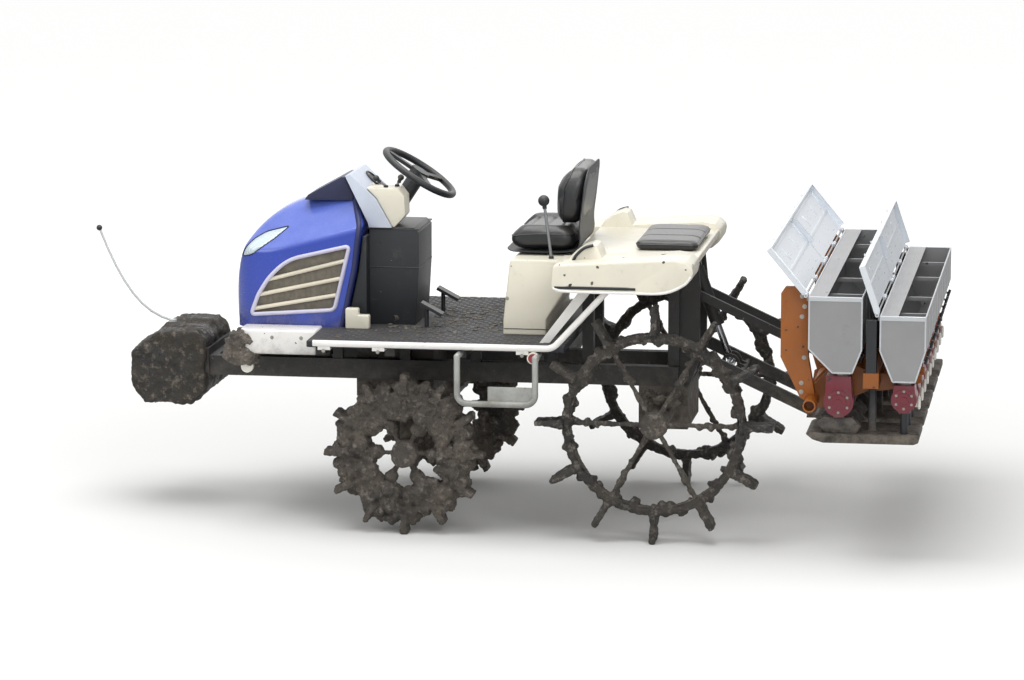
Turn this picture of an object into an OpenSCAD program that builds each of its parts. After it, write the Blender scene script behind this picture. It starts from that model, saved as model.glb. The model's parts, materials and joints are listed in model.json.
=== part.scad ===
// Riding rice transplanter chassis with a two-hopper seeding unit on its rear lift.
// +X points forward, +Y to the left and +Z up. The origin is on the ground, midway along the machine.
// Inside the modules X is measured from the rear axle, and placed() moves it to the origin.

/* [Wheels] */
// Distance between the front and rear axles
wheelbase = 1010; // [980:5:1040]
// Distance between the middle planes of the rear wheels
rear_track = 1200; // [1170:10:1220]
// Distance between the middle planes of the front wheels
front_track = 1120; // [1100:5:1130]
// Radius of the rear wheels at their lug tips
rear_r = 475; // [455:5:485]
// Radius of the front wheels at their lug tips
front_r = 325; // [305:5:330]
// Outer radius of the rear wheels' ring, under the lugs
rear_ring_r = 365; // [345:5:380]
// Outer radius of the front wheels' ring, under the lugs
front_ring_r = 248; // [235:1:260]
// Width of the rear lugs
rear_lug_w = 100; // [80:5:104]
// Width of the front lugs
front_lug_w = 80; // [60:5:84]
// Thickness of a lug at its tip
lug_t = 20; // [14:1:26]
// Number of lugs on each wheel
lug_count = 12; // [8:1:14]
// Radial thickness of the rubber ring
ring_t = 28; // [20:1:34]
// Width of the rubber ring
ring_w = 46; // [36:1:56]
// Number of spokes in each wheel
spoke_count = 6; // [4:1:8]
// Radius of a spoke
spoke_r = 9; // [7:0.5:11]

/* [Frame] */
// Height of the frame rails' middle
rail_z = 600; // [590:1:610]
// Height of a frame rail's section
rail_h = 80; // [60:1:90]
// Width of a frame rail's section
rail_w = 50; // [40:1:55]
// Distance from the middle plane to a frame rail's middle
rail_y = 180; // [175:1:185]
// Front end of the frame rails
rail_front = 1885; // [1860:5:1890]
// Width of the engine block
engine_w = 380; // [340:10:400]
// Height of the engine block
engine_h = 360; // [300:10:400]

/* [Platform] */
// Height of the deck's surface
deck_z = 780; // [775:1:800]
// Thickness of the deck
deck_t = 28; // [20:1:32]
// Half of the deck's width
deck_half = 607; // [590:1:615]
// Radius of the side rails' tube
side_rail_r = 13; // [10:0.5:15]
// Radius of the boarding steps' tube
step_r = 12.5; // [10:0.5:15]
// Height of the boarding steps' tread tube
step_z = 552; // [530:1:580]

/* [Hood] */
// Half of the hood's width
hood_half = 250; // [240:1:255]
// Thickness of the hood's shell
hood_t = 5; // [3:0.5:8]
// Height of the hood's pivot
hood_pivot_z = 800; // [795:1:805]

/* [Seat and rear deck] */
// Height of the seat pedestal's top
pedestal_z = 1086; // [1070:1:1095]
// Thickness of the seat cushion
cushion_t = 88; // [70:1:100]
// Width of the seat cushion
cushion_w = 480; // [440:10:500]
// Height of the seat back's top
back_top_z = 1450; // [1400:5:1480]
// Height of the rear deck's surface
rear_deck_z = 1120; // [1115:1:1130]
// Outer edge of the rear fenders
fender_half = 665; // [655:1:680]

/* [Steering] */
// Diameter of the steering wheel
steer_wheel_d = 350; // [320:5:370]
// Radius of the steering wheel's rim
steer_rim_r = 14; // [11:0.5:16]
// Slope of the steering wheel's plane
steer_slope = 33; // [28:1:36]
// Length of the knuckle and pitman arms
arm_len = 110; // [100:1:116]

/* [Lift] */
// Length of the lift links between their pivots
link_len = 550; // [540:1:560]
// Slope of the links at rest, below level
link_slope = 24.7; // [22:0.1:27]
// Height between the upper and lower link pivots
link_rise = 230; // [220:1:240]
// Radius of the lift cylinder's barrel
barrel_r = 28; // [24:0.5:30]
// Radius of the lift cylinder's rod
piston_rod_r = 14; // [11:0.5:16]

/* [Seeding unit] */
// Length of each hopper
hopper_l = 1900; // [1860:5:1940]
// Depth of the front hopper, front to back
front_hopper_d = 208; // [200:1:210]
// Depth of the rear hopper, front to back
rear_hopper_d = 178; // [170:1:180]
// Height of the front hopper's rim
front_hopper_z = 1055; // [1040:1:1065]
// Height of the rear hopper's rim
rear_hopper_z = 985; // [980:1:1000]
// Thickness of the hoppers' sheet
sheet_t = 4; // [3:0.5:6]
// Opening of the front hopper's lids at rest
front_lid_open = 130; // [126:1:132]
// Opening of the rear hopper's lids at rest
rear_lid_open = 109; // [104:1:109]
// Height of the lids' lips
lid_lip = 22; // [16:1:26]
// Number of rows on each side of the middle
half_rows = 5; // [4:1:5]
// Distance between rows
row_pitch = 190; // [184:1:192]
// Width of a metering unit
meter_w = 110; // [90:1:120]
// Radius of the toolbar tube
toolbar_r = 25; // [22:0.5:27]

/* [Hidden] */
$fn = 48;

fit_gap = 0.05;      // radial clearance of a shaft in its bore
seat_gap = 0.3;      // gap where a piece is seated on another
run_gap = 6;         // gap between pieces that pass each other

// How far the machine reaches ahead of and behind the rear axle
guide_tip = [2392, 1130];
guide_knob_r = 12;
rear_hopper_x = -908;
front_reach = guide_tip[0] + guide_knob_r;
rear_reach = rear_hopper_x - rear_hopper_d;
x_mid = (front_reach + rear_reach) / 2;

module placed() { translate([-x_mid, 0, 0]) children(); }

// A plate or prism whose outline is drawn in X and Z, from y0 to y1
module side_prism(outline, y0, y1) {
    translate([0, y1, 0]) rotate([90, 0, 0]) linear_extrude(y1 - y0) polygon(outline);
}

// A box given by its lowest and highest corners
module block(low, high) { translate(low) cube(high - low); }

// A round bar between two points
module bar(a, b, r) {
    d = b - a;
    translate(a) rotate([0, acos(d[2] / norm(d)), atan2(d[1], d[0])]) cylinder(h = norm(d), r = r);
}

// A round bar along Y through a point of the XZ plane
module cross_bar(at, y0, y1, r) { translate([at[0], y1, at[1]]) rotate([90, 0, 0]) cylinder(h = y1 - y0, r = r); }

// The children and their mirror image on the right-hand side
module both_sides() {
    children();
    mirror([0, 1, 0]) children();
}

// Points along a cubic curve with four control points
function bezier(p, n) = [for (i = [0:n])
    let (t = i / n, s = 1 - t) s*s*s*p[0] + 3*s*s*t*p[1] + 3*s*t*t*p[2] + t*t*t*p[3]];

// A pipe in the XZ plane at one Y, bent at each inner point
module pipe(points, y, r, bend) {
    n = len(points);
    function dir(i) = (points[i + 1] - points[i]) / norm(points[i + 1] - points[i]);
    function turn(i) = let (a = dir(i - 1), b = dir(i)) atan2(a[0]*b[1] - a[1]*b[0], a * b);
    function cut(i) = (i == 0 || i == n - 1) ? 0 : bend * tan(abs(turn(i)) / 2);
    translate([0, y, 0]) rotate([90, 0, 0]) union() {
        for (i = [0:n - 2]) {
            a = points[i] + dir(i) * cut(i);
            b = points[i + 1] - dir(i) * cut(i + 1);
            translate([a[0], a[1], 0]) rotate([0, 0, atan2(dir(i)[1], dir(i)[0])]) rotate([0, 90, 0])
                cylinder(h = norm(b - a), r = r);
        }
        for (i = [1:1:n - 2]) {
            side = turn(i) > 0 ? 1 : -1;
            from = points[i] - dir(i - 1) * cut(i);
            mid = from + side * bend * [-dir(i - 1)[1], dir(i - 1)[0]];
            start = side > 0 ? from : points[i] + dir(i) * cut(i);
            translate([mid[0], mid[1], 0]) rotate([0, 0, atan2(start[1] - mid[1], start[0] - mid[0])])
                rotate_extrude(angle = abs(turn(i))) translate([bend, 0]) circle(r);
        }
    }
}

// Wheels

front_wheel_y = front_track / 2;
rear_wheel_y = rear_track / 2;
hub_r = 52;
hub_w = 80;
rear_shaft_r = 22;
front_shaft_r = 18;
rim_t = 6;
rim_w = 38;

// A rubber ring with paddle lugs, around the Y axis at the origin
module lugged_tyre(tip_r, ring_r, lug_w) {
    root_w = lug_t + 14;
    foot = ring_r - 4;
    color("#3b3733") rotate([90, 0, 0]) union() {
        translate([0, 0, -ring_w/2]) linear_extrude(ring_w) difference() {
            circle(ring_r);
            circle(ring_r - ring_t);
        }
        for (i = [0:lug_count - 1]) rotate([0, 0, i * 360 / lug_count])
            translate([0, 0, -lug_w/2]) linear_extrude(lug_w)
                polygon([[foot, -root_w/2], [ring_r + 20, -lug_t/2 - 2], [tip_r - 4, -lug_t/2],
                    [tip_r, -lug_t/2 + 6], [tip_r, lug_t/2 - 6], [tip_r - 4, lug_t/2],
                    [ring_r + 20, lug_t/2 + 2], [foot, root_w/2]]);
    }
}

// Hub, spokes and rim band around the Y axis, with the shaft entering from the inner side
module spoked_rim(band_r, shaft_r) {
    color("#5a5650") difference() {
        union() {
            difference() {
                cross_bar([0, 0], -rim_w/2, rim_w/2, band_r);
                cross_bar([0, 0], -rim_w/2 - 1, rim_w/2 + 1, band_r - rim_t);
            }
            cross_bar([0, 0], -hub_w/2, hub_w/2, hub_r);
            for (i = [0:spoke_count - 1]) rotate([0, i * 360 / spoke_count, 0])
                translate([hub_r - 6, 0, 0]) rotate([0, 90, 0])
                    cylinder(h = band_r - hub_r + 6 - rim_t/2, r = spoke_r);
        }
        cross_bar([0, 0], -hub_w/2 - 1, hub_w/2 - 14, shaft_r + fit_gap);
    }
}

module rear_wheel_at(side) {
    placed() translate([0, side * rear_wheel_y, rear_r]) mirror([0, side > 0 ? 0 : 1, 0]) children();
}
module front_wheel_at(side) {
    placed() translate([wheelbase, side * front_wheel_y, front_r]) mirror([0, side > 0 ? 0 : 1, 0]) children();
}
module rear_tyre_left() { rear_wheel_at(1) lugged_tyre(rear_r, rear_ring_r, rear_lug_w); }
module rear_tyre_right() { rear_wheel_at(-1) lugged_tyre(rear_r, rear_ring_r, rear_lug_w); }
module front_tyre_left() { front_wheel_at(1) lugged_tyre(front_r, front_ring_r, front_lug_w); }
module front_tyre_right() { front_wheel_at(-1) lugged_tyre(front_r, front_ring_r, front_lug_w); }
module rear_rim_left() { rear_wheel_at(1) spoked_rim(rear_ring_r - ring_t, rear_shaft_r); }
module rear_rim_right() { rear_wheel_at(-1) spoked_rim(rear_ring_r - ring_t, rear_shaft_r); }
module front_rim_left() { front_wheel_at(1) spoked_rim(front_ring_r - ring_t, front_shaft_r); }
module front_rim_right() { front_wheel_at(-1) spoked_rim(front_ring_r - ring_t, front_shaft_r); }

// Axles and steering

kingpin_y = front_wheel_y - 90;
kingpin_r = 14;
housing_r = 38;
axle_tube_r = 36;
axle_tube_z = rail_z - rail_h/2 - axle_tube_r - 7;
housing_z = axle_tube_z - 44;
housing_top_z = axle_tube_z + 84;
knuckle_r = 34;
arm_z = housing_z - 40;
arm_t = 16;
arm_pin_r = 7;
eye_r = 18;
eye_h = 20;
gearbox_x = [wheelbase - 50, wheelbase + 270];
gearbox_half = rail_y - rail_w/2;
gearbox_z = [axle_tube_z - axle_tube_r - 2, 700];
pitman_r = 24;
shaft_end = 14;

module front_axle() {
    color("#4a4743") placed() difference() {
        union() {
            block([gearbox_x[0], -gearbox_half, gearbox_z[0]], [gearbox_x[1], gearbox_half, gearbox_z[1]]);
            cross_bar([wheelbase, axle_tube_z], -kingpin_y, kingpin_y, axle_tube_r);
            both_sides() translate([wheelbase, kingpin_y, housing_z]) cylinder(h = housing_top_z - housing_z, r = housing_r);
        }
        both_sides() translate([wheelbase, kingpin_y, housing_z - 1]) cylinder(h = 91, r = kingpin_r + fit_gap);
        translate([wheelbase, 0, gearbox_z[0] - 1]) cylinder(h = 41, r = kingpin_r + fit_gap);
    }
}

// A vertical gear case with its kingpin, its arm to the rear and the wheel's stub shaft
module knuckle(side) {
    color("#4f4b47") placed() translate([wheelbase, side * kingpin_y, 0]) mirror([0, side > 0 ? 0 : 1, 0]) union() {
        translate([0, 0, front_r - 50]) cylinder(h = housing_z - 1 - front_r + 50, r = knuckle_r);
        translate([0, 0, housing_z - 10]) cylinder(h = 90, r = kingpin_r);
        cross_bar([0, front_r], 0, front_wheel_y - kingpin_y - hub_w/2 - 1, 30);
        cross_bar([0, front_r], 0, front_wheel_y - kingpin_y + hub_w/2 - shaft_end - 2, front_shaft_r);
        block([-arm_len, -14, arm_z], [0, 14, arm_z + arm_t]);
        translate([-arm_len, 0, arm_z]) cylinder(h = arm_t, r = eye_r);
        translate([-arm_len, 0, arm_z + 2]) cylinder(h = arm_t + eye_h + 1, r = arm_pin_r);
    }
}
module knuckle_left() { knuckle(1); }
module knuckle_right() { knuckle(-1); }

module pitman_arm() {
    color("#3d3a37") placed() translate([wheelbase, 0, 0]) union() {
        translate([0, 0, arm_z]) cylinder(h = gearbox_z[0] - 1 - arm_z, r = pitman_r);
        translate([0, 0, arm_z + 10]) cylinder(h = gearbox_z[0] + 36 - arm_z - 10, r = kingpin_r);
        block([-arm_len, -14, arm_z], [0, 14, arm_z + arm_t]);
        translate([-arm_len, 0, arm_z]) cylinder(h = arm_t, r = eye_r);
        translate([-arm_len, 0, arm_z + 2]) cylinder(h = arm_t + eye_h + 1, r = arm_pin_r);
    }
}

module track_rod() {
    eye_z = arm_z + arm_t + 0.5;
    color("#6b6862") placed() translate([wheelbase - arm_len, 0, eye_z]) difference() {
        union() {
            for (y = [-kingpin_y, 0, kingpin_y]) translate([0, y, 0]) cylinder(h = eye_h, r = eye_r);
            cross_bar([0, eye_h/2], -kingpin_y, kingpin_y, 8);
        }
        for (y = [-kingpin_y, 0, kingpin_y]) translate([0, y, -1]) cylinder(h = eye_h + 2, r = arm_pin_r + fit_gap);
    }
}

rear_case_half = rail_y + rail_w/2;
rear_tube_r = 46;
module rear_axle() {
    top = rail_z - rail_h/2;
    color("#4a4743") placed() both_sides() union() {
        block([-90, 0, rear_r - 90], [110, rear_case_half, top]);
        cross_bar([0, rear_r], 0, rear_wheel_y - hub_w/2 - 12, rear_tube_r);
        cross_bar([0, rear_r], 0, rear_wheel_y + hub_w/2 - shaft_end - 2, rear_shaft_r);
    }
}

// Frame

step_x = [467, 780];                    // the steps' two uprights
rail_rear = -50;
rail_top = rail_z + rail_h/2;
rail_low = rail_z - rail_h/2;
post_w = 46;
deck_low = deck_z - deck_t;
rear_deck_low = rear_deck_z - 30;
cross_xs = [step_x[0] - 20, step_x[1] - 20, 1050, 1330];      // cross members under the deck
cross_half = 560;
post_xs = [-50, 300];                   // rear faces of the posts under the rear deck

module frame() {
    color("#35332f") placed() union() {
        both_sides() {
            block([rail_rear, rail_y - rail_w/2, rail_low], [rail_front, rail_y + rail_w/2, rail_top]);
            for (x = cross_xs) block([x, rail_y - 20, rail_top - 1], [x + 40, rail_y + 20, deck_low - 35]);
            for (x = post_xs) block([x, 125, rail_top - 30], [x + post_w, 171, rear_deck_low]);
        }
        block([rail_rear, -rail_y, rail_low], [0, rail_y, rail_top]);
        for (x = cross_xs) block([x, -cross_half, deck_low - 36], [x + 40, cross_half, deck_low]);
        block([rail_front - 30, -rail_y, rail_low], [rail_front, rail_y, rail_top]);
        block([rail_front, -220, rail_low + 10], [rail_front + 15, 220, rail_top + 30]);
        block([hinge_post_x[0], -rail_y, rail_low], [hinge_post_x[1], rail_y, rail_top]);
        both_sides() {
            block([hinge_post_x[0], hinge_post_y[0], rail_top - 1], [hinge_post_x[1], hinge_post_y[1], hood_pivot_z + 8]);
            block([hinge_post_x[0], hinge_post_y[0], hood_pivot_z - 8], [hood_pivot[0] + 5, hinge_post_y[1], hood_pivot_z + 8]);
            cross_bar(hood_pivot, hinge_ear_y[0] - 3, hinge_post_y[1], hood_pin_r);
        }
    }
}

engine_x = [1380, 1690];
module engine() {
    color("#2f2f31") placed() block([engine_x[0], -engine_w/2, rail_top], [engine_x[1], engine_w/2, rail_top + engine_h]);
}

// Lift links. The lower and top links stay parallel, so the seeding unit rises level.
lower_pivot = [-100, 700];
top_pivot = lower_pivot + [0, link_rise];
link_step = link_len * [-cos(link_slope), -sin(link_slope)];
lower_end = lower_pivot + link_step;
top_end = top_pivot + link_step;
ram_base = lower_pivot + [2, 330];
ram_reach = 160;                        // from the lower pivot to the rod's eye, along the link
ram_eye = lower_pivot + ram_reach * [-cos(link_slope), -sin(link_slope)];
link_pin_r = 12;
top_pin_r = 10;
tower_y = [125, 150];
lower_y = [160, 180];
top_y = [80, 98];
float_hole_r = 27;

module hitch_tower() {
    outline = [[rail_rear, 560], [-92, 560], [-128, 660], [-132, 960], [-122, 1056], [-76, 1056], [rail_rear, 1020]];
    color("#35332f") placed() union() {
        both_sides() {
            side_prism(outline, tower_y[0], tower_y[1]);
            cross_bar(lower_pivot, tower_y[0] + 5, lower_y[1] + 4, link_pin_r);
            cross_bar(top_pivot, top_y[0] - 4, tower_y[0] + 5, top_pin_r);
        }
        cross_bar(ram_base, -tower_y[0] - 5, tower_y[0] + 5, link_pin_r);
        block([-92, -tower_y[0] - 5, 570], [rail_rear, tower_y[0] + 5, 610]);
    }
}

// A flat bar between two eyes, from y0 to y1, with a bore at each end
module link_bar(a, b, y0, y1, h, boss_r, bore_r) {
    ang = atan2(b[1] - a[1], b[0] - a[0]);
    reach = norm(b - a);
    translate([a[0], y1, a[1]]) rotate([0, -ang, 0]) rotate([90, 0, 0]) linear_extrude(y1 - y0) difference() {
        union() {
            translate([0, -h/2]) square([reach, h]);
            for (x = [0, reach]) translate([x, 0]) circle(boss_r);
        }
        for (x = [0, reach]) translate([x, 0]) circle(bore_r);
    }
}

// A plain flat plate between two points, from y0 to y1
module bar_plate(a, b, y0, y1, h) {
    ang = atan2(b[1] - a[1], b[0] - a[0]);
    translate([a[0], y1, a[1]]) rotate([0, -ang, 0]) rotate([90, 0, 0]) linear_extrude(y1 - y0)
        translate([0, -h/2]) square([norm(b - a), h]);
}

module lower_link() {
    lug_y = [barrel_r + run_gap, barrel_r + run_gap + 12];
    lug_reach = 58;                     // from the rod's eye to the cross bar that carries the lugs
    ahead = ram_eye + lug_reach * [-cos(link_slope), -sin(link_slope)];
    color("#35332f") placed() union() {
        both_sides() {
            link_bar(lower_pivot, lower_end, lower_y[0], lower_y[1], 48, 27, link_pin_r + fit_gap);
            difference() {
                union() {
                    cross_bar(ram_eye, lug_y[0], lug_y[1], float_hole_r + 12);
                    bar_plate(ram_eye, ahead, lug_y[0], lug_y[1], 36);
                }
                cross_bar(ram_eye, lug_y[0] - 1, lug_y[1] + 1, float_hole_r);
            }
        }
        cross_bar(ahead, -lower_y[0] - 2, lower_y[0] + 2, 13);
    }
}

module top_link() {
    color("#35332f") placed() both_sides()
        link_bar(top_pivot, top_end, top_y[0], top_y[1], 34, 21, top_pin_r + fit_gap);
}

ram_len = norm(ram_eye - ram_base);
ram_dir = (ram_eye - ram_base) / ram_len;
barrel_end = 262;                       // from the base pivot to the barrel's mouth
function on_ram(d) = [ram_base[0] + ram_dir[0] * d, 0, ram_base[1] + ram_dir[1] * d];

module lift_cylinder() {
    color("#3a3a3c") placed() difference() {
        union() {
            cross_bar(ram_base, -20, 20, 22);
            bar(on_ram(12), on_ram(barrel_end), barrel_r);
        }
        cross_bar(ram_base, -21, 21, link_pin_r + fit_gap);
        bar(on_ram(40), on_ram(barrel_end + 1), piston_rod_r + fit_gap);
    }
}

module lift_rod() {
    color("#b9bcc0") placed() union() {
        bar(on_ram(barrel_end - 100), on_ram(ram_len - 8), piston_rod_r);
        cross_bar(ram_eye, -20, 20, 18);
        cross_bar(ram_eye, -barrel_r - 20, barrel_r + 20, 8);
    }
}

// Platform

deck_x = [360, 1400];
notch_x = 1240;
notch_half = hood_half + 12;

module deck_floor() {
    color("#2c3140") placed() translate([0, 0, deck_low]) linear_extrude(deck_t) polygon([
        [deck_x[0], -deck_half], [deck_x[1], -deck_half], [deck_x[1], -notch_half], [notch_x, -notch_half],
        [notch_x, notch_half], [deck_x[1], notch_half], [deck_x[1], deck_half], [deck_x[0], deck_half]]);
}

side_rail_y = deck_half + side_rail_r;
side_rail_z = deck_z - 8;
fender_low = 1005;
module side_rails() {
    foot_x = 405;
    top_x = 196;
    bracket_xs = [500, 1080, 1300];
    color("#f1efe9") placed() both_sides() union() {
        difference() {
            pipe([[1370, side_rail_z], [foot_x, side_rail_z], [top_x - 20, fender_low + 15]], side_rail_y, side_rail_r, 60);
            block([top_x - 60, side_rail_y - 40, fender_low - seat_gap], [top_x + 60, side_rail_y + 40, fender_low + 60]);
        }
        for (x = bracket_xs) {
            block([x, 560, deck_low - 6 - seat_gap], [x + 50, side_rail_y, deck_low - seat_gap]);
            block([x, side_rail_y - 8, deck_low - 6 - seat_gap], [x + 50, side_rail_y + 4, side_rail_z - 4]);
        }
        side_prism([[470, deck_z], [430, deck_z], [250, fender_low], [300, fender_low]], 510, 530);
    }
}

step_y = side_rail_y + 48;
module boarding_steps() {
    top = deck_low - seat_gap - step_r;
    color("#b7b9b6") placed() both_sides() union() {
        pipe([[step_x[1], top], [step_x[1], step_z], [step_x[0], step_z], [step_x[0], top]], step_y, step_r, 40);
        for (x = step_x) cross_bar([x, top], cross_half + seat_gap, step_y, step_r);
        for (x = step_x) translate([x, step_y, top]) sphere(step_r + 0.5);
        block([step_x[0] + 8, step_y - 4, step_z], [step_x[0] + 190, step_y, step_z + 70]);
    }
}

skirt_x = [deck_x[1], 1720];
skirt_z = [686, 785];
skirt_y = [notch_half, 410];
module front_skirts() {
    nose = 60;
    color("#ece8dc") placed() both_sides() difference() {
        block([skirt_x[0], skirt_y[0], skirt_z[0]], [skirt_x[1], skirt_y[1], skirt_z[1]]);
        translate([skirt_x[1] - nose, skirt_y[1] - nose, skirt_z[0] - 1]) difference() {
            cube([nose + 1, nose + 1, 101]);
            translate([0, 0, -1]) cylinder(h = 103, r = nose);
        }
    }
}

// Stepped blocks on the deck beside the hood's foot
module foot_blocks() {
    color("#ece8dc") placed() both_sides() side_prism([[1200, deck_z + seat_gap], [1200, 838], [1244, 838], [1244, 865],
        [1298, 865], [1298, deck_z + seat_gap]], notch_half + 6, notch_half + 44);
}

module side_lamps() {
    lamp = [1686, 632];
    color("#f4f4f0") placed() both_sides() union() {
        cross_bar(lamp, 380, 402, 25);
        block([lamp[0] - 6, 384, lamp[1]], [lamp[0] + 6, 396, skirt_z[0]]);
    }
}

weight_x = [rail_front + 15, 2203];
weight_z = [446, 737];
rod_foot_x = 2085;
slab_count = 7;
slab_w = 62;
slab_gap = 8;
module front_weights() {
    nose = [107, 87];
    foot = [53, 59];
    heel = [50, 54];
    edge = 36;
    outline = [[weight_x[0], weight_z[0] + heel[1]], [weight_x[0], weight_z[1] - edge - 1], [weight_x[0] + edge, weight_z[1]],
        [weight_x[1] - nose[0], weight_z[1]], [weight_x[1], weight_z[1] - nose[1]], [weight_x[1], weight_z[0] + foot[1]],
        [weight_x[1] - foot[0], weight_z[0]], [weight_x[0] + heel[0], weight_z[0]]];
    span = slab_count * (slab_w + slab_gap) - slab_gap;
    color("#2b2825") placed() union() {
        for (i = [0:slab_count - 1]) side_prism(outline,
            -span/2 + i * (slab_w + slab_gap), -span/2 + i * (slab_w + slab_gap) + slab_w);
        block([weight_x[0] + 40, -span/2 + 4, weight_z[0] + 114], [weight_x[1] - foot[0], span/2 - 4, weight_z[0] + 194]);
    }
}

guide_r = 5;
guide_steps = 8;
module guide_rod() {
    path = bezier([[rod_foot_x, weight_z[1] + 11], [2215, 775], [2300, 890], guide_tip], guide_steps);
    function at(p) = [p[0], 0, p[1]];
    color("#26262a") placed() union() {
        translate([rod_foot_x, 0, weight_z[1]]) cylinder(h = 16, r = 16);
        for (i = [0:guide_steps - 1]) {
            bar(at(path[i]), at(path[i + 1]), guide_r);
            translate(at(path[i])) sphere(guide_r + 0.4);
        }
        translate(at(guide_tip)) sphere(guide_knob_r);
    }
}

// Controls

cover_x = [1020, 1225];
cover_z = 1180;
wheel_mid = [1043, 1386];
steer_dir = [-sin(steer_slope), cos(steer_slope)];
column_r = 34;
column_shaft_r = 9;
shaft_in = 80;                          // reach of the wheel's shaft into the column
module column_cover() {
    seam_z = 1015;
    foot = wheel_mid - steer_dir * 250;
    hub = wheel_mid - steer_dir * 34;
    bore = wheel_mid - steer_dir * (shaft_in + 2);
    // A dark plate on the deck, just behind the hood's back
    bulkhead_top = 1150;
    bulkhead = concat([[cover_x[1] - 3, deck_z], [cover_x[1] - 3, bulkhead_top]],
        [for (z = [bulkhead_top, hood_back[3][1], deck_z]) [hood_back_x(z) - run_gap - 2, z]]);
    bulkhead_half = hood_half - hood_t - run_gap - 3;
    color("#262a30") placed() difference() {
        union() {
        side_prism([[cover_x[0] + 14, deck_z], [cover_x[0], seam_z], [cover_x[0], cover_z - 20],
            [cover_x[0] + 20, cover_z], [cover_x[1] - 10, cover_z], [cover_x[1], cover_z - 14], [cover_x[1], deck_z]], -160, 160);
        side_prism(bulkhead, -bulkhead_half, bulkhead_half);
            bar([foot[0], 0, foot[1]], [hub[0], 0, hub[1]], column_r);
        }
        bar([bore[0], 0, bore[1]], [wheel_mid[0], 0, wheel_mid[1]], column_shaft_r + fit_gap);
    }
}

module instrument_panel() {
    outline = [[1130, cover_z], [1222, cover_z], [1227, 1200], [1278, 1304], [1320, 1388], [1300, 1394], [1196, 1296]];
    low = wheel_mid - steer_dir * 300;
    color("#c9cdd6") placed() difference() {
        side_prism(outline, -178, 178);
        bar([low[0], 0, low[1]], [wheel_mid[0], 0, wheel_mid[1]], column_r + 4);
    }
}

console_y = [44, 158];
console_top = 1339;
module lever_console() {
    outline = [[1076, cover_z + 48], [1120, cover_z], [1128, cover_z], [1194, 1297], [1236, console_top], [1105, console_top],
        [1078, 1305]];
    color("#efe9d8") placed() side_prism(outline, console_y[0], console_y[1]);
}

seat_lever = [[455, 300, 1086], [486, 300, 1320]];
console_levers = [[[1160, 128, 1339], [1196, 150, 1378]], [[1120, 92, 1339], [1104, 92, 1376]]];

// A lever on a round boot, with a ball on its end
module lever(foot, tip, r, ball_r) {
    translate(foot) cylinder(h = r + 4, r = r + 5);
    bar(foot + [0, 0, r], tip, r);
    translate(tip) rotate([90, 0, 0]) sphere(ball_r);
}

module hand_levers() {
    color("#1f1f22") placed() {
        for (l = console_levers) union() lever(l[0], l[1], 5, 13);
        union() lever(seat_lever[0], seat_lever[1], 6, 23);
    }
}

pedal = [958, 205, 856];
module foot_pedals() {
    color("#222224") placed() both_sides() union() {
        translate([pedal[0] + 22, pedal[1], deck_z]) cylinder(h = 90, r = 9);
        translate(pedal) rotate([0, -28, 0]) translate([-50, -30, -6]) cube([100, 60, 12]);
    }
}

module steering_wheel() {
    r = steer_wheel_d/2 - steer_rim_r;
    color("#17181a") placed() translate([wheel_mid[0], 0, wheel_mid[1]]) rotate([0, -steer_slope, 0]) union() {
        rotate_extrude() translate([r, 0]) circle(steer_rim_r, $fn = 24);
        translate([0, 0, -28]) cylinder(h = 40, r = 40);
        translate([0, 0, -shaft_in]) cylinder(h = shaft_in, r = column_shaft_r);
        for (a = [0, 120, 240]) rotate([0, 0, a]) translate([20, -14, -8]) cube([r - 20, 28, 14]);
    }
}

// Seat, pedestal and rear deck

pedestal_half = 350;
module seat_pedestal() {
    color("#ece8dc") placed() side_prism([[643, deck_z], [643, 841], [617, pedestal_z - 8], [606, pedestal_z],
        [rear_deck_x[1], pedestal_z], [rear_deck_x[1], 1030], [469, 844], [469, deck_z]], -pedestal_half, pedestal_half);
}

cushion_x = [356, 648];
cushion_z = pedestal_z + 20;
module seat_cushion() {
    color("#1d1d1f") placed() union() {
        block([cushion_x[0], -cushion_w/2, cushion_z], [cushion_x[1], cushion_w/2, cushion_z + cushion_t]);
        for (y = [-150, 120]) block([400, y, pedestal_z + seat_gap], [600, y + 30, cushion_z + 1]);
    }
}

module seat_back() {
    low = cushion_z + cushion_t + seat_gap;
    color("#1d1d1f") placed() side_prism([[358, low], [452, low], [440, back_top_z - 90], [404, back_top_z],
        [330, back_top_z], [322, back_top_z - 20]], -cushion_w/2 + 10, cushion_w/2 - 10);
}

rear_deck_x = [-150, 350];
fender_in = 420;
module rear_deck() {
    color("#ece8dc") placed() block([rear_deck_x[0], -fender_in, rear_deck_low], [rear_deck_x[1], fender_in, rear_deck_z]);
}

module rear_fenders() {
    front_x = 405;
    end_x = -157;
    outline = [[front_x, fender_low + 20], [front_x - 8, 1112], [front_x - 20, 1118], [-80, 1148], [-130, 1140],
        [-152, 1120], [end_x, 1096], [-150, 1066], [-120, 1040], [-40, fender_low + 4], [-20, fender_low], [front_x - 20, fender_low]];
    hump = [[352, 1115], [336, 1140], [300, 1168], [258, 1184], [236, 1180], [222, 1150], [212, 1120]];
    slot_x = [100, 345];
    color("#ece8dc") placed() both_sides() difference() {
        union() {
            side_prism(outline, fender_in, fender_half);
            side_prism(hump, fender_in, 560);
        }
        block([slot_x[0], fender_half - 8, 1020], [slot_x[1], fender_half + 1, 1030]);
    }
}

pad_t = 40;
module rear_pad() {
    color("#222226") placed() block([-140, -270, rear_deck_z + seat_gap], [130, 270, rear_deck_z + pad_t]);
}

// Hood

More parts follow.
